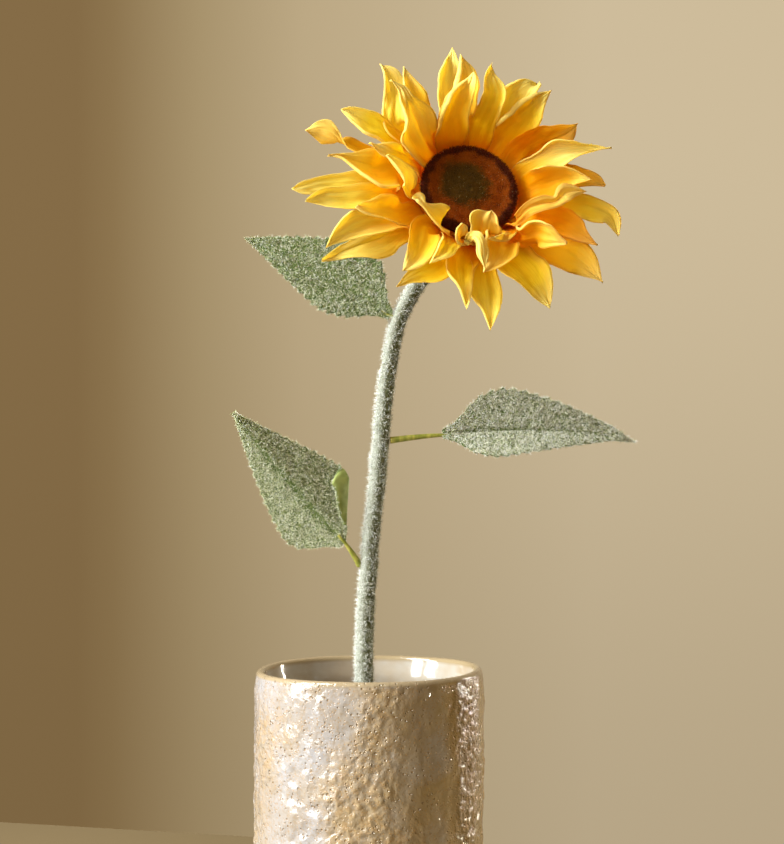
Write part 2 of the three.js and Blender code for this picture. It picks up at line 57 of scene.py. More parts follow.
# The disc's valley and crest lie at shares of its radius. specks is the share of its fibres that are pale.
DISC = {"radius": 21.7, "edge": 3.4, "ring": 5.2, "dip": 3.9, "crown": 5.4, "valley": 0.66, "crest": 0.9,
        "sides": 96, "fibres": 26000, "specks": 0.006, "bumps": 0.25, "bumpy_within": 20}
CORE = {"place": (-2.0, 3.0), "radius": 11.5}
CUP = {"flange": 11.0, "neck": 6.2, "length": 17.5, "top": -5.5, "bore": 4.2, "ribs": 10, "sides": 60}
# A star of sepals is (radius where neighbours part, radius of the points, drop of the points, turn in steps)
SEPALS = {"count": 10, "stars": ((21, 33, 6, 0), (19, 30, 12, 0.5)), "thickness": 0.5, "fibres": 600,
          "shares": (0.0, 0.2, 0.4, 0.3, 0.1)}
WASHER = {"bore": 4.0, "half": 0.2, "sides": 64}
# The clearance between pieces that touch, and the thickness and the spacing of the whorls' washers
GAP = 0.3
LAYER = 0.8
LAYER_STEP = 1.1

# A petal's places count from the disc's middle, in steps of SEEN millimetres across the camera's view at
# the head's distance.
SEEN = 0.4406


class Petal(NamedTuple):
    """A place on the line is (right, up, rise over the disc's plane in millimetres, half width to its left,
    half width to its right), and the last is the tip. A lip is a margin rolled over towards the front:
    (width, from, to), from and to being shares of the petal's length."""
    root: float  # where it leaves the disc, in degrees
    line: list
    left_lip: tuple = (0, 0, 1)
    right_lip: tuple = (0, 0, 1)
    foot: tuple = (0, 0)  # the half widths at the disc, where the neighbours don't set them
    cup: float = 0.35  # how far the margins come forward for their width
    tilt: float = 0  # how far the blade turns about its line, in degrees
    turn: tuple = (0, 1, 0)  # a twist: (from, to, degrees)
    pleat: float = 0.16  # the height of the pleats, in millimetres
    wavy: float = 1.5  # the height of the margin's waves, in millimetres
    blunt: bool = False
    # A petal's deeper colour is painted shade: petals that lie in shade are given a deeper amber.
    pale: float = 0  # how far its colour is paler, and
    deep_shade: float = 0  # how far it is deeper, from 0 to about 1


class Whorl(NamedTuple):
    name: str
    radius: float
    lift: float  # the angle over the disc's plane at which petals start, in degrees
    petals: list


WHORLS = [
    Whorl("petals_back", 25.2, 12, [
        Petal(123, [(-75, 66, 4, 9, 12), (-75, 96, 9, 9, 13), (-76.5, 111, 11, 7.5, 12),
                    (-82, 123, 12, 4, 7.5), (-87.5, 130, 12)], left_lip=(3, 0.3, 1), cup=0.3, pale=0.4),
        Petal(100, [(-15, 82, 3, 15, 15), (-17, 112, 6, 13.5, 14), (-15.5, 146, 8)], left_lip=(2.5, 0.2, 1),
              pale=0.9),
        Petal(62, [(38, 73, 4, 17, 13), (52, 94, 9, 18, 13), (63, 107, 13, 11, 9), (70, 110, 11)],
              left_lip=(5, 0.4, 0.9), blunt=True, pale=0.5),
        Petal(27, [(80, 41, 2, 10, 10), (104, 46, 3, 7.5, 7), (124.5, 49.5, 4)], pale=0.5),
        Petal(2, [(87, 14, 2, 11, 12), (112, 16.5, 3, 11, 11.5), (126, 13.5, 3.5, 7, 6), (137.8, 8, 4)],
              deep_shade=0.8),
        Petal(345, [(92, -13, 3, 12, 12), (122, -15.5, 3, 13, 13), (142, -23, 2.5, 8.5, 9.5),
                    (150.8, -42.3, 2)], pale=0.1, deep_shade=0.2),
        Petal(322, [(67, -51, 2, 15, 15), (93, -61, 4, 17, 17), (116, -71, 5, 12.5, 12), (135.2, -89, 6)],
              deep_shade=0.6),
        Petal(300, [(36, -56, 2, 17, 17), (53, -74, 4, 21, 19), (70, -94, 6, 15, 13), (82.8, -113.3, 8)]),
        Petal(277, [(15, -76, 3, 12, 12), (19, -101, 5, 15.5, 15.5), (21, -119, 7, 9, 8.5),
                    (22.5, -137, 8)], right_lip=(2, 0.4, 1), pale=0.2),
        Petal(247, [(-27, -72, 0, 15, 10), (-49, -80, 1, 9, 9), (-70.5, -92, 2)]),
        Petal(214, [(-68, -38, 2, 16, 10), (-98, -50, 3, 18, 11), (-124, -59, 4, 8, 6.5),
                    (-145.5, -66.5, 4)], pale=0.6),
        Petal(187, [(-92, 6, 3, 11, 11), (-128, 9.5, 4, 9.5, 9.5), (-156, 7.5, 4.5, 7.5, 7),
                    (-168, 6, 5, 5.5, 4.5), (-175.5, 6, 5)], pale=0.4),
        Petal(160, [(-82, 34, 3, 8, 8), (-104, 43, 5, 7, 7), (-115, 48, 6, 6.5, 6.5), (-126, 53, 7, 4, 4),
                    (-143, 62, 8, 10, 10), (-162.2, 63.5, 8)], left_lip=(1.5, 0.6, 1),
              turn=(0.62, 0.74, 150), deep_shade=0.7),
        Petal(145, [(-77.5, 58, 4, 14, 10), (-100.5, 72, 7, 14, 9.5), (-116, 81, 8, 6, 4),
                    (-126.5, 84.5, 8)], left_lip=(3, 0.2, 1)),
    ]),
    Whorl("petals_middle", 24.2, 38, [
        Petal(113, [(-48, 78, 10, 12, 13), (-58, 105, 15, 8, 9), (-63.5, 127.5, 20)],
              left_lip=(2.5, 0.5, 1), deep_shade=0.2),
        Petal(101, [(-10.5, 80, 8, 17, 17), (-4, 99, 12, 13, 13), (-1.5, 118, 15, 10, 10), (-7, 140, 18)],
              left_lip=(8, 0.3, 1), deep_shade=0.3),
        Petal(79, [(14, 69, 8, 15, 15), (22, 85, 12, 12, 12), (25.5, 101, 16, 11, 11), (23, 117, 19, 6, 6),
                   (24, 130, 20)], right_lip=(2, 0.4, 0.9)),
        Petal(54, [(47, 65, 7, 18, 20), (60, 82, 11, 14.5, 15), (73, 95, 14, 7, 7), (84.5, 104, 16)],
              left_lip=(8, 0.25, 0.95), tilt=12, deep_shade=0.3),
        Petal(33, [(65, 47, 6, 18, 16), (88, 58, 10, 12, 12.5), (101, 64, 12, 7, 10), (110.5, 70.5, 14)],
              tilt=36, deep_shade=1.3),
        Petal(15, [(78, 29, 8, 15, 14), (105, 40, 12, 11, 11.5), (128, 45, 13, 4.5, 6), (144.3, 47, 14)],
              left_lip=(5, 0.1, 0.9), cup=0.4, tilt=-24, pale=1.2),
        Petal(1, [(76, 10, 8, 14, 15), (100, 16, 13, 9.5, 9.5), (124.8, 14.4, 16)], left_lip=(2, 0.3, 0.9),
              tilt=22, deep_shade=0.7),
        Petal(338, [(64, -24, 8, 14, 13), (84, -25, 12, 15, 14), (102, -31, 12, 14, 11),
                    (117, -41, 11, 8, 6), (130.5, -51, 11)], tilt=62, deep_shade=1.2),
        Petal(267, [(-7, -68, 4, 17, 15), (-7, -82, 7, 13, 13), (-3, -99, 9, 7, 6), (-0.5, -115, 10)],
              right_lip=(2.5, 0.4, 1)),
        Petal(238, [(-42, -36, 7, 13, 14), (-46, -50, 10, 15, 13), (-50, -61, 11, 14, 12),
                    (-57.5, -70, 12, 8, 6), (-64.5, -76.5, 12)], deep_shade=0.4),
        Petal(208, [(-82, -29, 7, 13, 13), (-111, -34, 10, 12, 12), (-128, -42, 11, 7, 7),
                    (-141.5, -53, 12)], right_lip=(3, 0.3, 1), tilt=8, pale=0.7),
        Petal(192, [(-92, -5, 8, 12, 12), (-122, -6, 10, 12, 11.5), (-145, -4.5, 11, 8, 8),
                    (-161.5, -6, 12)], pale=0.3),
        Petal(170, [(-70, 24, 6, 22, 20), (-90, 24, 9, 21, 19), (-109, 31, 11, 11, 10),
                    (-125, 38, 13, 4, 3.5), (-139.5, 39, 14)], left_lip=(3.5, 0.2, 1), deep_shade=0.4),
    ]),
    Whorl("petals_front", 23.0, 60, [
        Petal(126, [(-43, 53, 8, 19, 14), (-52, 75, 15, 22, 14), (-61, 93, 21, 9, 8),
                    (-65, 105, 24, 3.5, 3.5), (-76.5, 114.5, 26)], left_lip=(3, 0.05, 1), foot=(17, 9),
              pleat=1.0, pale=0.6),
        Petal(106, [(-14, 72, 12, 16, 16), (-9, 88, 17, 13, 13), (-3.3, 101.5, 20, 10, 10.5),
                    (3.3, 114, 23, 4.5, 5.2), (5.5, 122, 24)], left_lip=(6, 0.2, 1), deep_shade=0.3),
        Petal(152, [(-64, 36, 14, 9, 8), (-79, 43, 19, 7, 6.5), (-97.8, 51.3, 22)]),
        Petal(184, [(-57, 0, 10, 5, 4), (-59, 15, 18, 8, 9), (-68, 27, 24, 6.5, 7), (-81, 39, 28)],
              pale=0.6),
        Petal(208, [(-69, -20, 10, 14, 13), (-88, -17, 16, 13.5, 12.5), (-101, -14.5, 20, 7, 6),
                    (-110.8, -12, 22)], deep_shade=0.3),
        Petal(238, [(-27, -30, 14, 7, 15), (-36, -20, 18, 4, 12), (-43, -10, 21, 3, 3), (-48, -4, 22, 4, 5),
                    (-55, -3, 22)], left_lip=(2, 0.2, 1), pale=0.4),
        Petal(249, [(-21, -51, 14, 12, 7), (-26, -59, 17, 10, 5.5), (-32, -65, 19, 4, 3),
                    (-38, -69.5, 20)], right_lip=(2.5, 0.2, 1), wavy=0.7),
        Petal(262, [(-6, -46, 13, 6, 7), (-6, -38, 18, 5.5, 6), (-6, -31.5, 20, 3, 4), (-6, -29, 21)],
              left_lip=(3, 0, 1.1), blunt=True, cup=0.1, wavy=0.4, deep_shade=0.8),
        Petal(285, [(14, -41, 12, 11, 13), (17, -31, 16, 15, 17), (19, -25.5, 18, 16, 14),
                    (22, -20, 19.5, 8, 8), (23.5, -16.5, 20)], left_lip=(2.5, 0.3, 1), foot=(8, 10),
              cup=0.15, wavy=1, deep_shade=0.7),
        Petal(300, [(33, -50, 14, 17, 16), (30, -60, 17, 16, 14), (25, -68.5, 19, 10, 9),
                    (17, -76.5, 20)], right_lip=(3, 0, 0.95), foot=(12, 9), cup=0.3, deep_shade=0.7),
        Petal(268, [(0, -48, 15, 3, 3), (4, -41, 20, 4, 4), (10, -40.5, 23, 4.5, 4.5),
                    (14, -47, 24, 4.5, 4.5), (16, -60, 23, 5, 5), (17.5, -75, 21)], foot=(4, 4), cup=-0.3,
              pleat=0, wavy=0.2, pale=0.8),
        Petal(311, [(36, -45, 16, 4, 4), (23, -43.5, 22)], pale=0.5),
        Petal(318, [(49, -27, 15, 5, 5), (61, -16, 21, 6, 6), (76, -9.5, 24, 6.5, 6), (89, -7, 25, 5, 5.5),
                    (97, 0.5, 27, 9, 8), (107, 3, 27, 5, 5), (119, 2.5, 26)], foot=(5, 5), cup=0.15,
              tilt=14, wavy=0.5, pale=0.35, deep_shade=0.8),
        Petal(312, [(54, -43, 12, 10, 9), (68, -40, 18, 13, 11), (79, -43, 22, 12, 10), (90, -47, 24, 4, 4),
                    (99.5, -49.5, 25)], left_lip=(3, 0.1, 0.8), cup=0.15, tilt=60, deep_shade=1.1),
    ]),
]
PETAL = {"rows": 64, "half": 9, "lip": 5, "thickness": 0.35, "hem": 0.3, "tip_width": 0.15, "uneven": 0.12,
         "lip_fade": 3, "curl": 0.62 * math.pi, "crumple": 0.8, "crease": 0.6}
# How many cells the petals' map has to a side
MAP_CELLS = 4


class Leaf(NamedTuple):
    name: str
    joint: tuple  # where its stalk leaves the stem
    base: tuple
    tip: tuple
    facing: tuple
    arch: float  # how far its middle rises over a straight line
    left: tuple  # (half width, share of the length where it is widest)
    right: tuple
    fold: float  # the angle of its halves, in degrees
    fibres: list  # shares of LEAF_FIBRES
    bite: float  # the depth of its teeth for its width
    count: int
    even: float  # how much of its fuzz doesn't gather in clumps
    flap: float = 0  # the width of the flap that its right margin is rolled into
    droop: float = 0


LEAVES = [
    Leaf("leaf_upper_left", (17.2, -59.6, 334), (10.9, -60.5, 332.2), (-57.5, -52, 369.5),
         (-0.1, -0.98, 0.12), arch=2, left=(14.5, 0.38), right=(21.5, 0.32), fold=8,
         fibres=[0.08, 0.3, 0.14, 0.18, 0.3], bite=0.13, count=30000, even=0.1),
    Leaf("leaf_lower_left", (-3.5, -51.6, 215.5), (-10.2, -56, 226.4), (-61.5, -68, 287.4),
         (-0.15, -0.97, -0.1), arch=-2, left=(24, 0.24), right=(22.5, 0.34), fold=-22,
         fibres=[0.08, 0.36, 0.28, 0.18, 0.1], bite=0.11, count=50000, even=0.4, flap=11),
    Leaf("leaf_right", (10.9, -57, 274.4), (35.5, -54, 277), (127.5, -44, 275),
         (0.02, -0.92, 0.36), arch=2.5, left=(20, 0.34), right=(15, 0.28), fold=18,
         fibres=[0.36, 0.26, 0.18, 0.13, 0.07], bite=0.09, count=50000, even=0.3, droop=1.5),
]
BLADE = {"rows": 162, "columns": 16, "teeth": 18, "thickness": 0.7, "edge_fibres": 1100, "thinnest": 0.3,
         "rib": 1.1, "veins": 0.22, "pucker": 0.28}
# A rolled flap grows to a share of the leaf's length and ends between two others. widening is how fast the
# margin that carries it leaves the rib, in millimetres over the whole length.
FLAP = {"grown": 0.3, "end": (0.33, 0.37), "roll": 160, "widening": 78,
        "portions": (0.06, 0.06, 0.06, 0.27, 0.27, 0.28)}
STALK = {"root_radius": 1.6, "tip_radius": 0.8, "tuck": 5.0, "rows": 40, "sides": 16}
# The first number of each random series, so that every run draws the same
SEEDS = {"stem": 31, "disc": 53, "sepals": 61, "whorls": 100, "leaves": 200}
# How deep the foot of a fibre is in its surface
SUNK = 0.15
# Factors that scramble a cell's x, y and z, its seed and their sum, so that noise shows no pattern
SCRAMBLE = (374761393, 668265263, 2147483647, 974711, 1274126177)


# Numbers

def unit(v):
    return v / np.maximum(np.linalg.norm(v, axis=-1, keepdims=True), 1e-12)


def smooth(x, low, high):
    q = np.clip((x - low) / (high - low), 0, 1)
    return q * q * (3 - 2 * q)


def mix(a, b, share):
    return a + (b - a) * share


def noise(points, seed=0):
    """Smooth noise between -1 and 1 at points whose last axis is x, y, z, one bump to a unit."""
    cell = np.floor(points).astype(np.int64)
    inside = points - cell
    ease = inside * inside * (3 - 2 * inside)
    total = np.zeros(points.shape[:-1])
    by_x, by_y, by_z, by_seed, by_sum = SCRAMBLE
    for corner in range(8):
        offset = np.array([corner & 1, corner >> 1 & 1, corner >> 2 & 1])
        at = cell + offset
        key = at[..., 0] * by_x + at[..., 1] * by_y + at[..., 2] * by_z + seed * by_seed
        key = (key ^ key >> 13) * by_sum & 0xFFFFFFFF
        key = (key ^ key >> 16) & 0xFFFF
        weight = np.prod(np.where(offset == 1, ease, 1 - ease), axis=-1)
        total += weight * (key / 32767.5 - 1)
    return total


def points_of(x, y, z):
    """Points from their coordinates, each one value or an array of a shape that goes with the others."""
    return np.stack(np.broadcast_arrays(x, y, z), axis=-1)


def layered_noise(points, seed=0, octaves=3):
    return sum(noise(points * 2**k, seed + k) * 0.5**k for k in range(octaves))


def spokes(sides):
    """Angles round a circle, and the level unit vectors at them."""
    angles = 2 * math.pi * np.arange(sides) / sides
    return angles, points_of(np.cos(angles), np.sin(angles), 0.0)


# Meshes

def new_object(name, data):
    made = bpy.data.objects.new(name, data)
    bpy.context.scene.collection.objects.link(made)
    return made


def mesh_piece(name, points, faces, shades, shade_of_face=None, smoothed=True):
    """A mesh object from points in millimetres. faces is one array of triangles or quads, or several."""
    groups = faces if isinstance(faces, list) else [faces]
    sizes = np.concatenate([np.full(len(g), g.shape[1]) for g in groups])
    corners = np.concatenate([g.ravel() for g in groups])
    data = bpy.data.meshes.new(name)
    data.vertices.add(len(points))
    data.vertices.foreach_set("co", (np.asarray(points, float) * MM).astype(np.float32).ravel())
    data.loops.add(len(corners))
    data.loops.foreach_set("vertex_index", corners.astype(np.int32))
    data.polygons.add(len(sizes))
    data.polygons.foreach_set("loop_start", np.concatenate([[0], np.cumsum(sizes)[:-1]]).astype(np.int32))
    data.polygons.foreach_set("loop_total", sizes.astype(np.int32))
    for shade in shades:
        data.materials.append(shade)
    if shade_of_face is not None:
        data.polygons.foreach_set("material_index", np.asarray(shade_of_face, np.int32))
    data.polygons.foreach_set("use_smooth", np.full(len(sizes), smoothed))
    data.update(calc_edges=True)
    data.validate()
    return new_object(name, data)


def attribute(piece, name, values):
    made = piece.data.attributes.new(name, "FLOAT", "POINT")
    made.data.foreach_set("value", np.asarray(values, np.float32).ravel())


def corner_map(piece, uv):
    """The map that a texture of this piece is laid out on: one uv pair for each point."""
    layer = piece.data.uv_layers.new(name="OFBake")
    index = np.zeros(len(piece.data.loops), np.int32)
    piece.data.loops.foreach_get("vertex_index", index)
    layer.uv.foreach_set("vector", np.asarray(uv, np.float32)[index].ravel())


def finish_piece(piece, node):
    """Puts a piece on the body, in the place of its node where that is named."""
    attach(piece, "root")
    if node:
        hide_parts(node)


def strip_faces(rows, columns, closed=False):
    """Quads between rows of points. closed joins the last column to the first."""
    wide = columns if closed else columns - 1
    i, j = np.meshgrid(np.arange(rows - 1), np.arange(wide), indexing="ij")
    a = (i * columns + j).ravel()
    b = (i * columns + (j + 1) % columns).ravel()
    return np.stack([a, b, b + columns, a + columns], axis=1)


def end_fans(rows, sides, foot_point, top_point):
    """Triangles from the first ring of a tube to one point and from its last ring to another."""
    j = np.arange(sides)
    after = (j + 1) % sides
    last = (rows - 1) * sides
    foot = np.stack([after, j, np.full(sides, foot_point)], axis=1)
    top = np.stack([last + j, last + after, np.full(sides, top_point)], axis=1)
    return foot, top


def capped(grid):
    """The points and faces of a closed tube from its rings."""
    rows, sides = grid.shape[:2]
    points = np.concatenate([grid.reshape(-1, 3), [grid[0].mean(0), grid[-1].mean(0)]])
    count = rows * sides
    return points, [strip_faces(rows, sides, closed=True), *end_fans(rows, sides, count, count + 1)]


def turned(profile, sides):
    """Rings of points round the upright axis from (radius, height) points."""
    return profile[:, :1, None] * spokes(sides)[1] + UP * profile[:, 1:, None]


def joined(parts):
    """The points and faces of several parts as those of one."""
    starts = np.cumsum([0] + [len(points) for points, _ in parts])
    faces = [quads + start for (_, quads), start in zip(parts, starts)]
    return np.concatenate([points for points, _ in parts]), np.concatenate(faces)


def closed_across(grid):
    """A grid of rings with its first column once more at its end."""
    return np.concatenate([grid, grid[:, :1]], axis=1)


def normals_of(grid):
    """Unit normals of a grid of points, towards across x along."""
    return unit(np.cross(np.gradient(grid, axis=1), np.gradient(grid, axis=0)))


def slab(grid, thickness):
    """The points and faces of a blade from a grid of surface points: front, back, rim. Its tip is thin."""
    rows, columns = grid.shape[:2]
    thinner = 1 - 0.75 * smooth(np.linspace(0, 1, rows), 0.9, 1.0)
    normal = normals_of(grid) * thinner[:, None, None]
    front = grid + normal * thickness / 2
    back = grid - normal * thickness / 2
    count = rows * columns
    faces = strip_faces(rows, columns)
    border = np.concatenate([
        np.arange(columns),
        np.arange(1, rows) * columns + columns - 1,
        (rows - 1) * columns + np.arange(columns - 2, -1, -1),
        np.arange(rows - 2, 0, -1) * columns,
    ])
    after = np.roll(border, -1)
    rim = np.stack([after, border, border + count, after + count], axis=1)
    points = np.concatenate([front.reshape(-1, 3), back.reshape(-1, 3)])
    return points, np.concatenate([faces, faces[:, ::-1] + count, rim])


# A curve through points, as the solids' stem follows

STEPS = 24


def hermite(t, a, b, slope_a, slope_b):
    """A cubic from a to b with these slopes at its ends, at t from 0 to 1."""
    return ((2 * t**3 - 3 * t**2 + 1) * a + (t**3 - 2 * t**2 + t) * slope_a
            + (3 * t**2 - 2 * t**3) * b + (t**3 - t**2) * slope_b)


def catmull_rom(points):
    """Points along the centripetal curve through these points, STEPS to a stretch."""
    points = np.asarray(points, float)
    padded = np.concatenate([[2 * points[0] - points[1]], points, [2 * points[-1] - points[-2]]])
    line = []
    for p0, p1, p2, p3 in zip(padded, padded[1:], padded[2:], padded[3:]):
        d0, d1, d2 = (max(math.sqrt(np.linalg.norm(b - a)), 1e-4) for a, b in ((p0, p1), (p1, p2), (p2, p3)))
        m1 = ((p1 - p0) / d0 - (p2 - p0) / (d0 + d1) + (p2 - p1) / d1) * d1
        m2 = ((p2 - p1) / d1 - (p3 - p1) / (d1 + d2) + (p3 - p2) / d2) * d1
        t = np.linspace(0, 1, STEPS, endpoint=False)[:, None]
        line.append(hermite(t, p1, p2, m1, m2))
    return np.concatenate(line + [points[-1:]])


def distances(line):
    return np.concatenate([[0], np.cumsum(np.linalg.norm(np.diff(line, axis=0), axis=1))])


def even_steps(line, steps):
    far = distances(line)
    at = np.linspace(0, far[-1], steps)
    return np.stack([np.interp(at, far, line[:, k]) for k in range(3)], axis=1)


def quadratic(a, b, c, share):
    s = share[:, None]
    return a * (1 - s) ** 2 + 2 * b * s * (1 - s) + c * s * s


def tube(line, radii, sides):
    """Rings of points round a line, and the unit vectors out of it. The rings don't twist along the line."""
    along = unit(np.gradient(line, axis=0))
    side = np.array([0.0, -1.0, 0.0])
    angles = spokes(sides)[0][:, None]
    outs = np.empty((len(line), sides, 3))
    for i, direction in enumerate(along):
        side = unit(side - direction * side.dot(direction))
        other = np.cross(direction, side)
        outs[i] = np.cos(angles) * side + np.sin(angles) * other
    return line[:, None] + outs * np.asarray(radii)[:, None, None], outs


# Materials

def rgb(red, green, blue):
    """A colour from its 0 to 255 screen values."""
    def linear(c):
        c /= 255
        return c / 12.92 if c <= 0.04045 else ((c + 0.055) / 1.055) ** 2.4
    return (linear(red), linear(green), linear(blue), 1.0)


class Shade:
    """A material, the nodes that are added to it, and its colour so far."""

    def __init__(self, name):
        self.material = bpy.data.materials.new(name)
        self.material.use_nodes = True
        self.tree = self.material.node_tree
        self.surface = self.tree.nodes["Principled BSDF"]
        self.output = self.tree.nodes["Material Output"]
        self.colour = None

    def add(self, kind, inputs=(), **settings):
        made = self.tree.nodes.new("ShaderNode" + kind)
        for key, value in settings.items():
            setattr(made, key, value)
        for key, value in dict(inputs).items():
            self.put(made, key, value)
        return made

    def put(self, node, key, value):
        socket = node.inputs[key]
        if isinstance(value, bpy.types.NodeSocket):
            self.tree.links.new(value, socket)
        else:
            socket.default_value = value

    def set(self, **values):
        for key, value in values.items():
            self.put(self.surface, key.replace("_", " "), value)

    def finished(self, **values):
        """The material, with its colour and these values on its surface."""
        self.set(Base_Color=self.colour, **values)
        return self.material

    def place(self, scale=(1, 1, 1)):
        """Object coordinates in metres, stretched by a scale for each axis."""
        coordinates = self.add("TexCoord").outputs["Object"]
        return self.add("Mapping", {"Vector": coordinates, "Scale": scale}).outputs["Vector"]

    def value(self, name):
        return self.add("Attribute", attribute_name=name, attribute_type="GEOMETRY").outputs["Fac"]

    def noise(self, place, scale, detail=3.0, roughness=0.55):
        inputs = {"Vector": place, "Scale": scale, "Detail": detail, "Roughness": roughness}
        return self.add("TexNoise", inputs).outputs["Fac"]

    def spots(self, place, scale, low, high):
        """Round spots, one to a cell: 1 inside low of a spot's middle and nothing outside high."""
        cells = self.add("TexVoronoi", {"Vector": place, "Scale": scale}).outputs["Distance"]
        return self.spread(cells, low, high, 1.0, 0.0)

    def math(self, operation, a, b=0.0, c=0.5):
        return self.add("Math", {0: a, 1: b, 2: c}, operation=operation).outputs[0]

    def times(self, a, b):
        return self.math("MULTIPLY", a, b)

    def spread(self, value, low, high, to_low=0.0, to_high=1.0):
        """value's range from low to high, stretched smoothly to the new range."""
        inputs = {"Value": value, "From Min": low, "From Max": high, "To Min": to_low, "To Max": to_high}
        return self.add("MapRange", inputs, interpolation_type="SMOOTHSTEP").outputs["Result"]

    def blend(self, share, a, b):
        node = self.add("Mix", {0: share, 6: a, 7: b}, data_type="RGBA")
        return node.outputs[2]

    def mottled(self, cloud, low, high, a, b):
        """Two colours that a noise deals out: a where it is below low and b where it is over high."""
        return self.blend(self.spread(cloud, low, high), rgb(*a), rgb(*b))

    def tint(self, share, colour, strength=None):
        """Lays a colour over the one so far, by a share from 0 to 1 and its strength."""
        if strength is not None:
            share = self.times(share, strength)
        self.colour = self.blend(share, self.colour, rgb(*colour))

    def ramp(self, value, stops):
        node = self.add("ValToRGB", {"Fac": value})
        while len(node.color_ramp.elements) < len(stops):
            node.color_ramp.elements.new(0.5)
        for element, (position, colour) in zip(node.color_ramp.elements, stops):
            element.position = position
            element.color = rgb(*colour)
        return node.outputs["Color"]

    def relief(self, height, strength, distance, after=None):
        inputs = {"Height": height, "Strength": strength, "Distance": distance}
        if after is not None:
            inputs["Normal"] = after
        return self.add("Bump", inputs).outputs["Normal"]


# The usual edges where a noise deals out two colours: only the first below, only the second above
PATCHY = (0.35, 0.7)
EVEN = (0.3, 0.7)


def petal_shade():
    shade = Shade("petal_cloth")
    along, across = shade.value("along"), shade.value("across")
    tone, behind, light = shade.value("tone"), shade.value("behind"), shade.value("pale")
    place = shade.place()
    wander = shade.math("MULTIPLY_ADD", shade.noise(place, 90.0), 0.25, shade.math("ADD", along, -0.125))
    shade.colour = shade.ramp(wander, [
        (0.0, (253, 150, 0)),
        (0.14, (250, 194, 2)),
        (0.34, (248, 221, 14)),
        (0.65, (247, 234, 66)),
        (1.0, (246, 240, 156)),
    ])
    edge = shade.times(shade.spread(across, 0.6, 1.0), shade.spread(along, 0.15, 0.6))
    shade.tint(edge, (254, 240, 150), 0.22)
    shade.tint(behind, (253, 232, 130), 0.4)
    # Painted shade: a deeper amber by the petal's tone, a small random difference in colour plus painted
    # shade, strongest towards the root
    shade.tint(tone, (240, 163, 0), shade.spread(along, 0.3, 1.0, 0.9, 0.3))
    shade.tint(light, (246, 236, 142), shade.spread(along, 0.1, 0.7))
    own = {"X": shade.times(across, 5.0), "Y": shade.times(along, 2.2), "Z": shade.times(tone, 40.0)}
    veins = shade.noise(shade.add("CombineXYZ", own).outputs[0], 1.3)
    shade.tint(shade.spread(veins, 0.4, 0.7), (253, 204, 4), 0.22)
    weave = shade.noise(place, 2600.0, 2.0)
    bump = shade.relief(weave, 0.12, 0.0001, shade.relief(veins, 0.4, 0.0011))
    glow = shade.blend(0.4, shade.colour, rgb(255, 210, 6))
    through = shade.add("BsdfTranslucent", {"Color": glow, "Normal": bump}).outputs[0]
    both = shade.add("MixShader", {0: 0.55, 1: shade.surface.outputs[0], 2: through}).outputs[0]
    shade.put(shade.output, "Surface", both)
    return shade.finished(Roughness=0.5, Specular_IOR_Level=0.08, Normal=bump, Sheen_Weight=0.05,
                          Sheen_Roughness=0.4)


def flock_base(name, dark, light):
    """The coated surface that the fibres of the flock stand on."""
    shade = Shade(name)
    place = shade.place()
    shade.colour = shade.mottled(shade.noise(place, 900.0, 4.0, 0.65), 0.35, 0.68, dark, light)
    # Painted light: a lighter grey coat on the stem's side towards the window
    shade.tint(shade.value("lit_side"), (142, 144, 130))
    grain = shade.relief(shade.noise(place, 1800.0, 2.0), 0.8, 0.0005)
    return shade.finished(Roughness=0.92, Specular_IOR_Level=0.15, Normal=grain, Sheen_Weight=0.15,
                          Sheen_Roughness=0.5)


def leaf_underside():
    """The smooth cloth side of a leaf, without flock."""
    shade = Shade("leaf_underside")
    place = shade.place()
    shade.colour = shade.mottled(shade.noise(place, 160.0), *EVEN, (116, 130, 56), (146, 156, 84))
    weave = shade.relief(shade.noise(place, 2400.0, 2.0), 0.3, 0.0002)
    return shade.finished(Roughness=0.6, Normal=weave)


def fibres(kind, table):
    """One plain material for each row (name, colour, roughness, specular level, sheen)."""
    made = []
    for name, colour, roughness, specular, sheen in table:
        shade = Shade(kind + "_" + name)
        shade.colour = rgb(*colour)
        made.append(shade.finished(Roughness=roughness, Specular_IOR_Level=specular, Sheen_Weight=sheen,
                                   Sheen_Roughness=0.4))
    return made


def moulded_plastic():
    shade = Shade("stalk_plastic")
    streaks = shade.noise(shade.place((1, 1, 0.2)), 420.0)
    shade.colour = shade.mottled(streaks, 0.3, 0.75, (112, 118, 34), (176, 168, 78))
    dents = shade.relief(shade.noise(shade.place(), 700.0), 0.25, 0.0002)
    return shade.finished(Roughness=0.42, Normal=dents)


def disc_shade():
    shade = Shade("disc_plush")
    place = shade.place()
    patches = shade.noise(place, 260.0, 4.0, 0.6)
    middle = shade.mottled(patches, *PATCHY, (120, 56, 4), (160, 84, 8))
    green = shade.mottled(patches, *PATCHY, (64, 44, 6), (94, 62, 8))
    shade.colour = shade.blend(shade.value("core"), middle, green)
    # Painted shade, in part: the dark ring at the disc's edge is partly its own colour and partly the shade
    # under the petals' roots
    shade.tint(shade.value("ring"), (62, 24, 4))
    pile = shade.relief(shade.noise(place, 2200.0, 2.0), 0.8, 0.0006)
    return shade.finished(Roughness=0.9, Specular_IOR_Level=0.1, Normal=pile)


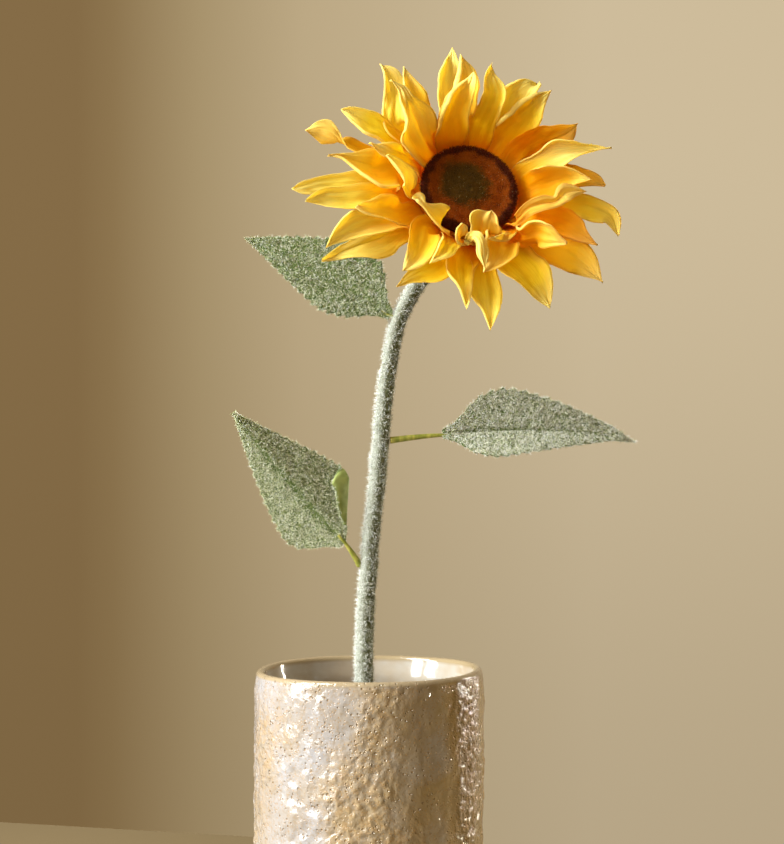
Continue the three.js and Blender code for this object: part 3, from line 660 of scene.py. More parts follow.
def stoneware_outside():
    """Pale glaze that runs, over tan ware that shows in pits, specks and rough patches."""
    shade = Shade("stoneware_glaze")
    place = shade.place()
    rough, rim, pale = shade.value("rough"), shade.value("rim"), shade.value("pale")
    drips = shade.noise(shade.place((1, 1, 0.45)), 60.0, 4.0, 0.6)
    coarse = shade.noise(place, 320.0, 1.0, 0.4)
    fine = shade.noise(place, 620.0, 3.0, 0.6)
    tan = shade.mottled(drips, *PATCHY, (132, 108, 68), (148, 126, 88))
    white = shade.mottled(drips, *PATCHY, (145, 137, 131), (152, 151, 155))
    ochre = shade.mottled(fine, *PATCHY, (146, 106, 50), (176, 152, 112))
    # Painted light: whiter, bluish glaze on the side towards the window and tan glaze on the side away from
    # it
    shade.colour = shade.blend(pale, tan, white)
    # Darker brown where the pale value falls below nothing, along the darker band
    shade.tint(shade.spread(pale, -0.7, 0.0, 1.0, 0.0), (100, 80, 50))
    shade.tint(shade.spread(fine, 0.48, 0.64), (136, 112, 78), 0.42)
    shade.tint(rough, (146, 122, 82), 0.45)
    lumpy = shade.times(rough, shade.spread(coarse, 0.42, 0.6))
    shade.colour = shade.blend(shade.times(lumpy, 0.4), shade.colour, ochre)
    some = shade.spread(shade.noise(place, 130.0, 2.0), 0.4, 0.56)
    holes = shade.times(shade.spots(place, 430.0, 0.1, 0.3), some)
    shade.tint(holes, (146, 112, 62), 0.6)
    some = shade.spread(shade.noise(place, 240.0, 2.0), 0.34, 0.5)
    dots = shade.times(shade.spots(place, 760.0, 0.14, 0.34), some)
    shade.tint(dots, (158, 116, 56), 0.6)
    shade.tint(rim, (146, 128, 100))
    lumps = shade.times(coarse, shade.spread(rough, 0.0, 0.8, 0.4, 1.0))
    grit = shade.times(fine, shade.spread(rough, 0.0, 0.8, 0.35, 1.0))
    normal = None
    for height, strength, distance in ((lumps, 0.9, 0.0009), (grit, 0.8, 0.0005), (holes, 0.8, -0.0008),
                                       (dots, 0.4, -0.0003)):
        normal = shade.relief(height, strength, distance, normal)
    return shade.finished(Normal=normal, Roughness=shade.spread(fine, *EVEN, 0.04, 0.12))


def stoneware_inside():
    shade = Shade("stoneware_inside")
    cloud = shade.noise(shade.place(), 40.0)
    shade.colour = shade.mottled(cloud, *PATCHY, (152, 136, 114), (162, 156, 146))
    shade.tint(shade.value("rim"), (142, 124, 94))
    rings = shade.relief(shade.noise(shade.place((1, 1, 2)), 70.0), 0.25, 0.001)
    return shade.finished(Roughness=0.1, Normal=rings)


def stoneware_foot():
    shade = Shade("stoneware_foot")
    grain = shade.noise(shade.place(), 700.0, 4.0, 0.7)
    shade.colour = shade.mottled(grain, *EVEN, (136, 110, 78), (158, 136, 104))
    return shade.finished(Roughness=0.85, Normal=shade.relief(grain, 0.5, 0.0006))


PETAL_CLOTH = petal_shade()
STEM_BASE = flock_base("stem_flock", (58, 62, 34), (104, 106, 72))
LEAF_BASE = flock_base("leaf_flock", (62, 80, 34), (108, 122, 70))
LEAF_FIBRES = fibres("leaf_fibre", [
    ("frost", (236, 234, 230), 0.8, 0.2, 0.2),
    ("white", (226, 226, 204), 0.8, 0.2, 0.2),
    ("pale", (198, 201, 158), 0.8, 0.2, 0.2),
    ("green", (128, 140, 76), 0.85, 0.2, 0.1),
    ("dark", (72, 88, 36), 0.85, 0.2, 0.1),
])
STEM_FIBRES = fibres("stem_fibre", [
    ("white", (226, 226, 220), 0.8, 0.2, 0.2),
    ("pale", (190, 192, 176), 0.8, 0.2, 0.2),
    ("green", (122, 130, 86), 0.85, 0.2, 0.1),
    ("dark", (76, 84, 46), 0.85, 0.2, 0.1),
])
LEAF_UNDERSIDE = leaf_underside()
STALK_PLASTIC = moulded_plastic()
DISC_PLUSH = disc_shade()
DISC_FIBRES = fibres("plush", [
    ("brown", (172, 82, 5), 0.85, 0.1, 0.1),
    ("green", (98, 68, 10), 0.85, 0.1, 0.1),
    ("dark", (92, 34, 4), 0.9, 0.1, 0.1),
    ("speck", (190, 170, 120), 0.6, 0.3, 0.2),
])


# Flock: many small bent ribbons that stand on a surface

def flock(name, roots, normals, rng, shades, shares, length, width, lean):
    """Bent ribbons of two faces each, more of them short than long. shares deals them out among the shades.
    length and lean are (least, most), and lean 1 lies a ribbon nearly flat."""
    count = len(roots)
    random = unit(rng.normal(size=(count, 3)))
    flat = unit(random - normals * (random * normals).sum(1, keepdims=True))
    long = mix(*length, rng.random((count, 1)) ** 1.8)
    tilt = rng.uniform(*lean, (count, 1)) * math.pi / 2
    first = normals * np.cos(tilt) + flat * np.sin(tilt)
    aside = unit(flat + unit(rng.normal(size=(count, 3))) * 0.9)
    second = unit(first * 0.6 + aside * 0.55 + normals * 0.1)
    side = unit(np.cross(first, unit(rng.normal(size=(count, 3)) + normals * 0.8)))
    foot = roots - normals * SUNK
    knee = foot + first * (long * 0.5 + SUNK)
    tip = knee + second * long * 0.5
    half = side * width / 2
    ribbon = [foot - half, foot + half, knee + half * 0.9, knee - half * 0.9, tip]
    points = np.stack(ribbon, axis=1).reshape(-1, 3)
    start = np.arange(count)[:, None] * len(ribbon)
    quads = start + np.array([0, 1, 2, 3])
    ends = start + np.array([3, 2, 4])
    pick = rng.choice(len(shades), count, p=shares)
    picks = np.concatenate([pick, pick])
    finish_piece(mesh_piece(name, points, [quads, ends], shades, picks, smoothed=False), None)


def scattered(grid, normals, count, rng, weight=None):
    """Random places on a grid surface, even by area unless a weight for each point is given."""
    a, b, c = grid[:-1, :-1], grid[:-1, 1:], grid[1:, :-1]
    area = np.linalg.norm(np.cross(b - a, c - a), axis=-1)
    if weight is not None:
        area = area * weight[:-1, :-1]
    picked = rng.choice(area.size, count, p=(area / area.sum()).ravel())
    i, j = np.unravel_index(picked, area.shape)
    u, v = rng.random((2, count, 1))
    place = (grid[i, j] * (1 - u) * (1 - v) + grid[i + 1, j] * u * (1 - v)
             + grid[i, j + 1] * (1 - u) * v + grid[i + 1, j + 1] * u * v)
    return place, normals[i, j]


# Vase

# Patches of lumpy, smooth and glossy glaze: angle in degrees, height, and how far each reaches
ROUGH_PATCHES = [(-87, 118, 11, 46), (-100, 100, 12, 24), (-32, 110, 9, 60), (-152, 128, 12, 20),
                 (-72, 72, 20, 24), (-60, 30, 40, 20), (10, 90, 30, 40), (60, 50, 40, 40),
                 (110, 110, 40, 30), (165, 60, 40, 40)]
SMOOTH_PATCHES = [(-128, 92, 17, 28), (-108, 146, 14, 12), (-58, 120, 13, 40), (130, 60, 30, 20),
                  (60, 130, 20, 16)]
GLOSSY_PATCHES = [(-126, 96, 20, 30)]
# A darker band from the rim down: angle and width in degrees, and how much darker it is
DARKER_BAND = {"angle": 327, "wide": 9, "depth": 0.7}
# How high the glaze's forms are in millimetres, where there are two values on smooth and on rough glaze
GLAZE = {"swells": 0.35, "ripples": 0.9, "lumps": (0.1, 0.34), "pits": (0.16, 0.4), "beads": (0.12, 0.5)}
OUTSIDE, INSIDE, FOOT = range(3)


def reach_of(patches, angle, height):
    share = np.zeros(angle.shape)
    for middle, level, wide, high in patches:
        off = (np.degrees(angle) - middle + 180) % 360 - 180
        share = np.maximum(share, np.exp(-(off / wide) ** 2 - ((height - level) / high) ** 2))
    return share


def rough_share(angle, height, points):
    """How lumpy the glaze is, from 0 to 1: listed patches, broken up by noise."""
    share = 0.3 + reach_of(ROUGH_PATCHES, angle, height) - 0.8 * reach_of(SMOOTH_PATCHES, angle, height)
    return np.clip(share + layered_noise(points / 14, 5) * 0.3, 0, 1)


def glaze_height(at, rough, glossy):
    """How far the glaze stands out in millimetres. The divisors are the sizes of its forms."""
    swells = layered_noise(at / [9, 9, 14], 1) * GLAZE["swells"]
    ripples = noise(at / 4, 12) * GLAZE["ripples"] * glossy
    lumps = layered_noise(at / 3.4, 2, 2) * mix(*GLAZE["lumps"], rough)
    pits = smooth(noise(at / 1.8, 3), 0.4, 0.75) * mix(*GLAZE["pits"], rough)
    beads = smooth(noise(at / 2.1, 6), 0.1, 0.8) * mix(*GLAZE["beads"], rough)
    return swells + ripples + lumps - pits + beads


def vase_profile():
    """The section as (radius, height) points, from the underside's middle round to the floor's middle."""
    radius, rim, foot = VASE["radius"], VASE["rim_radius"], VASE["foot_radius"]
    top, lip, floor = VASE["height"], VASE["lip"], VASE["floor"]
    inner = radius - VASE["wall"] - VASE["flare"]
    shoulder = top - VASE["shoulder"]
    line = [(0, 0), (20, 0), (40, 0), (foot - 2, 0), (foot - 0.6, 0.4), (foot, 1.5), (radius - 0.8, 8)]
    line += [(radius, z) for z in (14, 22, *np.arange(23, shoulder, 0.9))]
    for z in np.linspace(shoulder + 0.5, top - lip, 10):
        line.append((mix(radius, rim, smooth(z, shoulder, top - lip)), z))
    for angle in np.linspace(0, math.pi, 13)[1:]:
        line.append((rim - lip * (1 - math.cos(angle)), top - lip + lip * math.sin(angle)))
    mouth = line[-1][0]
    line += [(mix(mouth, inner, smooth(d, -1, 10)), top - lip - d) for d in np.arange(1, 11)]
    line += [(inner, z) for z in np.arange(top - 18, floor + 14, -6.0)]
    line += [(inner - inset, floor + rise) for inset, rise in ((0, 14), (1.2, 8), (4, 3), (8, 0.8), (12, 0))]
    line += [(r, floor) for r in (24, 12, 0)]
    return np.array(line)


def build_vase():
    profile = vase_profile()
    rows, sides, top = len(profile), VASE["sides"], VASE["height"]
    turn = int(np.argmax(profile[:, 1]))
    radius = profile[:, :1]
    angles, directions = spokes(sides)
    angle, z = np.broadcast_arrays(angles, profile[:, 1:])
    outside = np.broadcast_to((np.arange(rows) < turn)[:, None], angle.shape)
    at = directions * VASE["radius"] + UP * z[..., None]
    rough = rough_share(angle, z, at)
    body = outside * smooth(z, 3, 12) * (1 - smooth(z, top - 3.4, top - 2))
    relief = glaze_height(at, rough, reach_of(GLOSSY_PATCHES, angle, z)) * body
    wobble = (np.cos(angle - 0.6) * 0.5 + np.cos(2 * angle + 0.4) * 0.35) * smooth(z, 60, top)
    lift = (np.cos(angle + 0.75) * 0.7 + np.cos(3 * angle - 0.5) * 0.25) * smooth(z, 120, top)
    wide = radius > VASE["even_within"]
    far = radius + np.where(wide, wobble * 0.8 + relief, 0)
    grid = directions * far[..., None] + UP * (z + np.where(wide, lift, 0))[..., None]
    grid[..., 2] = np.where(z < 0.01, 0, grid[..., 2])

    points = np.concatenate([grid[1:-1].reshape(-1, 3), grid[0, :1], grid[-1, :1]])
    quads = strip_faces(rows - 2, sides, closed=True)
    foot, floor = end_fans(rows - 2, sides, len(points) - 2, len(points) - 1)
    row = quads[:, 0] // sides + 1
    flat = profile[np.minimum(row + 1, rows - 1), 1] < 0.3
    shade = np.where(row >= turn, INSIDE, np.where(flat, FOOT, OUTSIDE))
    shades = [stoneware_outside(), stoneware_inside(), stoneware_foot()]
    faces_shade = np.concatenate([shade, np.full(sides, FOOT), np.full(sides, INSIDE)])
    piece = mesh_piece("vase_stoneware", points, [quads, foot, floor], shades, faces_shade)

    ragged = z + noise(at / 11, 9) * 0.36
    rim = np.where(outside, smooth(ragged, top - 2.6, top - 1.4), smooth(ragged, top - 3.0, top - 1.6))
    # Painted light: paler on the side towards the window, at about -155 degrees, and tan away from it
    pale = np.clip(0.3 + np.cos(angle + 2.7) * 0.7 + layered_noise(at / 12, 8) * 0.3, 0, 1)
    run = np.exp(-((np.degrees(angle) - DARKER_BAND["angle"]) / DARKER_BAND["wide"]) ** 2)
    for name, values in (("rough", rough * body), ("pale", pale - DARKER_BAND["depth"] * run), ("rim", rim)):
        attribute(piece, name, np.append(values[1:-1], [0, 0]))
    finish_piece(piece, "vase")


# Stem

def head_frame():
    """The head's own axes as columns: right, over and out of the disc."""
    turn, tilt = math.radians(HEAD["turn"]), math.radians(HEAD["tilt"])
    right = np.array([math.cos(turn), math.sin(turn), 0])
    level = np.array([-math.sin(turn), math.cos(turn), 0])
    over = level * math.sin(tilt) + UP * math.cos(tilt)
    return np.stack([right, over, np.cross(right, over)], axis=1)


AXES = head_frame()
OUT = AXES[:, 2]
CENTRE = np.array(HEAD["centre"])
EYE = np.array(CAMERA["place"])

# The stem's fibres towards the window and away from it: shares of STEM_FIBRES, and their length
# Painted light and shade: more white fibres on the side towards the window, more dark ones on the side away
# from it
STEM_FUZZ = {"pale": ([0.82, 0.12, 0.03, 0.03], (0.8, 3.0)), "shaded_side": ([0.64, 0.2, 0.06, 0.1], (0.6, 2.2))}


def build_stem():
    end = CENTRE + OUT * (CUP["top"] - CUP["length"] + STEM["socket"] - GAP)
    neck = end - OUT * (STEM["socket"] + 3)
    line = even_steps(catmull_rom([*STEM_ROUTE, neck, end]), STEM["rows"])
    share = np.linspace(0, 1, len(line))
    radii = mix(STEM["foot_radius"], STEM["top_radius"], share) - STEM["fuzz"]
    grid, outs = tube(line, radii, STEM["sides"])
    uneven = layered_noise(grid / 7, 21) * 0.3 * smooth(share, 0.01, 0.03)[:, None]
    grid = grid + outs * uneven[..., None]
    grid[0, :, 2] = STEM_ROUTE[0][2]
    points, faces = capped(grid)
    piece = mesh_piece("stem_core", points, faces, [STEM_BASE])
    closed, outward = closed_across(grid), closed_across(outs)
    # Painted light: the stem's side towards the window, at -x, gets a lighter coat and whiter fibres
    pale = smooth(-outward[..., 0] + layered_noise(closed / 3, 23) * 0.2, -0.2, 0.6)
    attribute(piece, "lit_side", np.append(pale[:, :-1], [0, 0]))
    finish_piece(piece, "stem")

    rng = np.random.default_rng(SEEDS["stem"])
    clump = 0.12 + smooth(layered_noise(closed / 0.8, 22), -0.3, 0.4)
    shown = smooth(share, 0.02, 0.06) * (1 - smooth(share, 0.955, 0.97))
    for (label, (shares, length)), zone in zip(STEM_FUZZ.items(), (pale, 1 - pale)):
        weight = clump * shown[:, None] * zone
        roots, normals = scattered(closed, outward, STEM["fibres"], rng, weight)
        flock("stem_fuzz_" + label, roots, normals, rng, STEM_FIBRES, shares,
              length, width=0.12, lean=(0.0, 0.8))


# Flower head

def to_row(points):
    """Points of the head's own frame in the row's frame."""
    return CENTRE + points @ AXES.T


def seen(right, up, rise):
    """The place at this rise over the disc's plane that the camera sees so far right of and over CENTRE."""
    way = CENTRE + np.array([right, 0, up]) * SEEN - EYE
    return EYE + way * (rise - OUT @ (EYE - CENTRE)) / (OUT @ way)


def through(stations, values, at):
    """A smooth curve through values at stations, read at other places."""
    stations, values = np.asarray(stations, float), np.asarray(values, float)
    slopes = np.gradient(values, stations)
    k = np.clip(np.searchsorted(stations, at, side="right") - 1, 0, len(stations) - 2)
    wide = stations[k + 1] - stations[k]
    t = (at - stations[k]) / wide
    return hermite(t, values[k], values[k + 1], wide * slopes[k], wide * slopes[k + 1])


def swing(s, low, high):
    """A push that grows from nothing at low to 1 halfway and is nothing again at high."""
    return np.sin(math.pi * np.clip((s - low) / (high - low), 0, 1))


def spread_across():
    """Where a petal's columns lie: 1 at its left margin and lip, -1 at its right."""
    half = np.arange(PETAL["half"]) + 1
    right = np.concatenate([half / PETAL["half"], np.ones(PETAL["lip"])])
    return np.concatenate([right[::-1], [0], -right])


def petal_line(shape, radius, height, lift):
    """Points at even steps along a petal's middle, and the shares of its length where its stations lie."""
    root, rising = math.radians(shape.root), math.radians(lift)
    radial = AXES @ np.array([math.cos(root), math.sin(root), 0])
    start = CENTRE + radial * radius + OUT * height
    places = [start] + [seen(*station[:3]) for station in shape.line]
    first = np.linalg.norm(places[1] - start)
    before = start - (radial * math.cos(rising) + OUT * math.sin(rising)) * first
    after = places[-1] + (places[-1] - places[-2]) * 0.6
    line = catmull_rom([before, *places, after])[STEPS:-STEPS]
    far = distances(line)
    return even_steps(line, PETAL["rows"]), far[::STEPS] / far[-1]


def petal_widths(shape, k, stations, share, crowd, phase):
    """A petal's half width from root to tip, to its left where k is 0 and to its right where k is 1."""
    widths = [shape.foot[k] or crowd / SEEN, *(station[3 + k] for station in shape.line[:-1]), 0]
    reach = through(stations, widths, share)
    if shape.blunt:
        reach = reach + shape.line[-2][3 + k] * 0.7 * (1 - share) ** 0.5 * smooth(share, stations[-2], 1.0)
    uneven = layered_noise(points_of(share * 6, phase, 0.0), 9)
    return np.maximum(reach * (1 + PETAL["uneven"] * uneven), PETAL["tip_width"])


def petal_grid(shape, line, crowd, rng):
    """A petal's surface: rows from root to tip, columns from left lip to right lip. crowd is the half width
    at which its root meets its neighbours'."""
    middle, stations = line
    share = np.linspace(0, 1, PETAL["rows"])
    s = share[:, None]
    along = unit(np.gradient(middle, axis=0))
    side = unit(np.cross(OUT, along))
    view = unit(CENTRE - EYE)
    flat = np.linalg.norm(side - (side @ view)[:, None] * view, axis=1)
    low, high, twist = shape.turn
    turn = np.radians(shape.tilt * smooth(share, 0.05, 0.4) + twist * smooth(share, low, high))[:, None]
    side = side * np.cos(turn) + np.cross(along, side) * np.sin(turn)
    face = np.cross(along, side)
    phase = rng.uniform(0, 2 * math.pi, 8)
    count = rng.uniform(1.0, 1.8, 2)
    hem = PETAL["hem"] * SEEN * smooth(share, 0.15, 0.45) * (1 - smooth(share, 0.6, 1.0))
    halves = []
    for k, (sign, (size, low, high)) in enumerate(((1, shape.left_lip), (-1, shape.right_lip))):
        reach = petal_widths(shape, k, stations, share, crowd, phase[k]) / np.maximum(flat, 0.7) * SEEN
        reach = reach[:, None]
        wave = np.sin(2 * math.pi * count[k] * s + phase[k]) + 0.4 * np.sin(15 * s + phase[k + 2])
        wave = wave * shape.wavy * smooth(s, 0.1, 0.4)
        half = []
        for v in (np.arange(PETAL["half"]) + 1) / PETAL["half"]:
            up = shape.cup * reach * v * v * smooth(s, 0.05, 0.5) + wave * v**2.5
            half.append(middle + side * sign * reach * v + face * up)
        grown = size * SEEN * swing(share, low, high) ** 0.6
        grown = np.maximum(grown, hem)[:, None] + 0.02
        edge = half[-1]
        for curl in PETAL["curl"] * (np.arange(PETAL["lip"]) + 1) / PETAL["lip"]:
            half.append(edge + (face * math.sin(curl) - side * sign * (1 - math.cos(curl))) * grown / 2)
        halves.append(half)
    grid = np.stack(halves[0][::-1] + [middle] + halves[1], axis=1)
    return grid + face[:, None] * petal_relief(shape, s, phase)[..., None]


def petal_relief(shape, s, phase):
    """How far a petal's surface stands out of its plain form: pleats from the root, crumples and creases."""
    across = spread_across()[None]
    v = np.abs(across)
    pleats = np.cos(across * math.pi * (2.2 + 0.16 * phase[6]) + phase[4])
    pleats = pleats * smooth(s, 0.02, 0.2) * (1 - smooth(s, 0.6, 1))
    crumple = layered_noise(points_of(s * 4, v * 1.4, phase[5]), 7) * PETAL["crumple"]
    crease = np.exp(-(3.2 * noise(points_of(s * 1.3, across * 2.1, phase[7]), 8)) ** 2)
    loose = (crumple - PETAL["crease"] * crease) * smooth(s, 0.1, 0.4)
    return (pleats * shape.pleat + loose) * (1 - v**4)


def petal_tones(shape, s, v, tone):
    """What the petals' shade reads at each point. A rolled lip shows the paler tip's colour."""
    fade = np.concatenate([np.ones(PETAL["lip"]), np.linspace(1, 0, PETAL["lip_fade"] + 2)[1:-1]])
    rolled = np.zeros(s.shape)
    for columns, shares, (size, low, high) in ((slice(0, len(fade)), fade, shape.left_lip),
                                               (slice(-len(fade), None), fade[::-1], shape.right_lip)):
        rolled[:, columns] = (swing(s[:, 0], low, high) ** 0.5 * min(1, size / 3))[:, None] * shares
    return {"along": mix(s, np.maximum(s, 0.6), rolled), "across": abs(v), "tone": tone * (1 - rolled),
            "pale": np.maximum(shape.pale, 0.9 * rolled)}


def petal_map(k, s, back):
    """A petal's places on the map: a cell for each petal, with its front in the left half."""
    cell = np.array([k % MAP_CELLS, k // MAP_CELLS])
    columns = np.broadcast_to(np.linspace(0, 1, s.shape[1]), s.shape)
    local = np.stack([0.03 + 0.44 * columns + 0.5 * back, 0.03 + 0.94 * s], axis=-1)
    return ((cell + local) / MAP_CELLS).reshape(-1, 2)


def build_whorl(number, spec):
    """One whorl of petals with the washer that carries them, as one piece."""
    rng = np.random.default_rng(SEEDS["whorls"] + number)
    height = -GAP - LAYER / 2 - LAYER_STEP * (len(WHORLS) - 1 - number)
    crowd = 1.15 * math.pi * spec.radius / len(spec.petals)
    parts, maps = [], []
    tones = {"along": [], "across": [], "tone": [], "pale": [], "behind": []}
    for k, shape in enumerate(spec.petals):
        grid = petal_grid(shape, petal_line(shape, spec.radius - 0.5, height, spec.lift), crowd, rng)
        parts.append(slab(grid, PETAL["thickness"]))
        s, v = np.meshgrid(np.linspace(0, 1, len(grid)), spread_across(), indexing="ij")
        # The tone is a small random difference in colour plus the petal's painted shade
        for name, values in petal_tones(shape, s, v, 0.15 * rng.random() + shape.deep_shade).items():
            tones[name] += [values.ravel()] * 2
        tones["behind"] += [np.zeros(s.size), np.ones(s.size)]
        maps += [petal_map(k, s, 0), petal_map(k, s, 1)]
    parts.append(washer(spec.radius, height))
    count = len(parts[-1][0])
    for name, values in tones.items():
        values.append(np.full(count, 0.05 if name == "along" else 0))
    maps.append(np.stack([np.linspace(0.97, 0.99, count), np.full(count, 0.99)], axis=1))
    piece = mesh_piece(spec.name + "_cloth", *joined(parts), [PETAL_CLOTH])
    for name, values in tones.items():
        attribute(piece, name, np.concatenate(values))
    corner_map(piece, np.concatenate(maps))
    finish_piece(piece, spec.name)


def washer(radius, height):
    """A flat ring behind the disc, from the cup's stud out to the petals' roots."""
    bore, half, sides = WASHER["bore"], WASHER["half"], WASHER["sides"]
    section = np.array([(bore, height - half), (radius, height - half), (radius, height + half),
                        (bore, height + half)])
    quads = strip_faces(4, sides, closed=True)
    j = np.arange(sides)
    after = (j + 1) % sides
    last = 3 * sides
    closing = np.stack([last + j, last + after, after, j], axis=1)
    return to_row(turned(section, sides)).reshape(-1, 3), np.concatenate([quads, closing])


def disc_height(share):
    low = mix(DISC["crown"], DISC["dip"], np.clip(share / DISC["valley"], 0, 1))
    high = mix(DISC["dip"], DISC["ring"], smooth(share, DISC["valley"], DISC["crest"]))
    return np.where(share > DISC["valley"], high, low)


def zones(x, y):
    """How much a place on the disc belongs to its green core and to its dark ring."""
    off = np.hypot(x - CORE["place"][0], y - CORE["place"][1])
    ragged = noise(points_of(x / 3, y / 3, 0.0), 41) * 1.6
    core = 1 - smooth(off + ragged, CORE["radius"] - 3.5, CORE["radius"] + 2.5)
    # The dark ring: partly the disc's own colour, partly painted shade under the petals' roots
    ring = smooth(np.hypot(x, y) + ragged * 0.5, DISC["radius"] - 4.2, DISC["radius"] - 2.4)
    return core, ring


# The kinds of the disc's fibres and how long each is for the usual
PILE = (("brown", 1.0), ("green", 0.9), ("dark", 1.8), ("speck", 1.1))
BROWN, GREEN, DARK, SPECK = range(len(PILE))


def build_disc():
    radius = DISC["radius"]
    profile = [(radius * 0.3, 0.3), (radius - 1.4, 0.3), (radius - 0.5, 1.2), (radius - 0.4, DISC["edge"]),
               (radius - 1.0, DISC["ring"] - 0.7)]
    for share in np.linspace(DISC["crest"], 0.04, 26):
        profile.append((radius * share, float(disc_height(share)) - 0.2))
    profile = np.array(profile)
    grid = turned(profile, DISC["sides"])
    bumps = noise(grid / 2.2, 43) * DISC["bumps"] * (profile[:, :1] < DISC["bumpy_within"])
    grid = grid + UP * bumps[..., None]
    points, faces = capped(grid)
    piece = mesh_piece("seed_disc_pad", to_row(points), faces, [DISC_PLUSH])
    for name, values in zip(("core", "ring"), zones(points[:, 0], points[:, 1])):
        attribute(piece, name, values)
    finish_piece(piece, "seed_disc")

    rng = np.random.default_rng(SEEDS["disc"])
    closed = closed_across(grid[3:])
    outward = -normals_of(closed)
    sideways = (closed * outward)[..., :2].sum(-1, keepdims=True)
    outward = outward * np.sign(outward[..., 2:3] + sideways * 0.02 + 1e-9)
    roots, normals = scattered(closed, outward, DISC["fibres"], rng)
    core, ring = zones(roots[:, 0], roots[:, 1])
    dice = rng.random(len(roots))
    # Fibres in the ring are dark: partly the disc's own colour, partly painted shade
    kind = np.where(dice < ring, DARK, np.where(rng.random(len(roots)) < core, GREEN, BROWN))
    kind = np.where(rng.random(len(roots)) < DISC["specks"], SPECK, kind)
    for number, (label, long) in enumerate(PILE):
        chosen = kind == number
        flock("seed_disc_" + label, to_row(roots[chosen]), normals[chosen] @ AXES.T, rng,
              [DISC_FIBRES[number]], [1.0], length=(0.5 * long, 1.1 * long), width=0.16, lean=(0.0, 0.55))


def sepal_grid(valley, point, drop, angle, level):
    """A sepal as rows from the cup to its point. valley is the radius at which neighbours part."""
    out = np.array([math.cos(angle), math.sin(angle), 0])
    aside = np.cross(UP, out)
    s, v = np.meshgrid(np.linspace(0, 1, 30), np.linspace(-1, 1, 11), indexing="ij")
    r = mix(5.0, point - 0.5, s)
    slope = math.sin(math.pi / SEPALS["count"])
    wide = np.where(r < valley, r * slope * 1.02,
                    valley * slope * (1 - smooth(r, valley * 0.9, point)) ** 0.8)
    fall = drop * (r / point) ** 2 + 0.6 * abs(v) * smooth(s, 0.4, 0.9)
    grid = out * r[..., None] + aside * (wide * v)[..., None] + UP * (level - fall)[..., None]
    return grid, s


def build_sepals():
    """Two stars of short pointed sepals, flocked behind."""
    rng = np.random.default_rng(SEEDS["sepals"])
    parts, roots, normals = [], [], []
    first = -GAP - LAYER_STEP * 3
    for layer, (valley, point, drop, turn) in enumerate(SEPALS["stars"]):
        for k in range(SEPALS["count"]):
            angle = 2 * math.pi * (k + turn) / SEPALS["count"]
            level = first - 0.4 - 0.6 * layer - 0.06 * (k % 2)
            grid, s = sepal_grid(valley, point, drop, angle, level)
            parts.append(slab(grid, SEPALS["thickness"]))
            place, normal = scattered(grid, -normals_of(grid), SEPALS["fibres"], rng, (s > 0.35) * 1.0)
            roots.append(place)
            normals.append(normal * -np.sign(normal[:, 2:3]))
    points, faces = joined(parts)
    piece = mesh_piece("sepals_leaf", to_row(points), faces, [LEAF_BASE])
    finish_piece(piece, "sepals")
    roots, normals = to_row(np.concatenate(roots)), np.concatenate(normals) @ AXES.T
    flock("sepals_fuzz", roots, normals, rng, LEAF_FIBRES, SEPALS["shares"],
          length=(0.7, 1.4), width=0.14, lean=(0.3, 0.95))


def build_cup():
    """The moulded cup behind the head, ribbed round its neck."""
    top, flange, neck = CUP["top"], CUP["flange"], CUP["neck"]
    low = top - CUP["length"]
    profile = [(0.2, top - 0.4), (flange - 0.8, top - 1.4), (flange, top - 2.0), (flange, top - 2.8),
               (flange * 0.8, top - 6), (neck + 1.6, top - 9), (neck + 0.6, low + 5), (neck, low + 0.6),
               (neck - 0.5, low), (CUP["bore"] + 0.1, low), (CUP["bore"], low + 7.8), (0.2, low + 7.9)]
    grid = turned(np.array(profile), CUP["sides"])
    grid[..., :2] *= 1 + 0.02 * np.cos(CUP["ribs"] * spokes(CUP["sides"])[0])[:, None]
    points, faces = capped(grid[::-1])
    piece = mesh_piece("flower_cup_plastic", to_row(points), faces, [STALK_PLASTIC])
    finish_piece(piece, "flower_cup")


# Leaves

def leaf_taper(s, peak):
    rise = smooth(s, -0.18, peak) * (0.45 + 0.55 * smooth(s, 0, peak * 0.6))
    past = np.maximum(0, (s - peak) / (1 - peak))
    return rise * (1 - past**1.25) ** 1.05


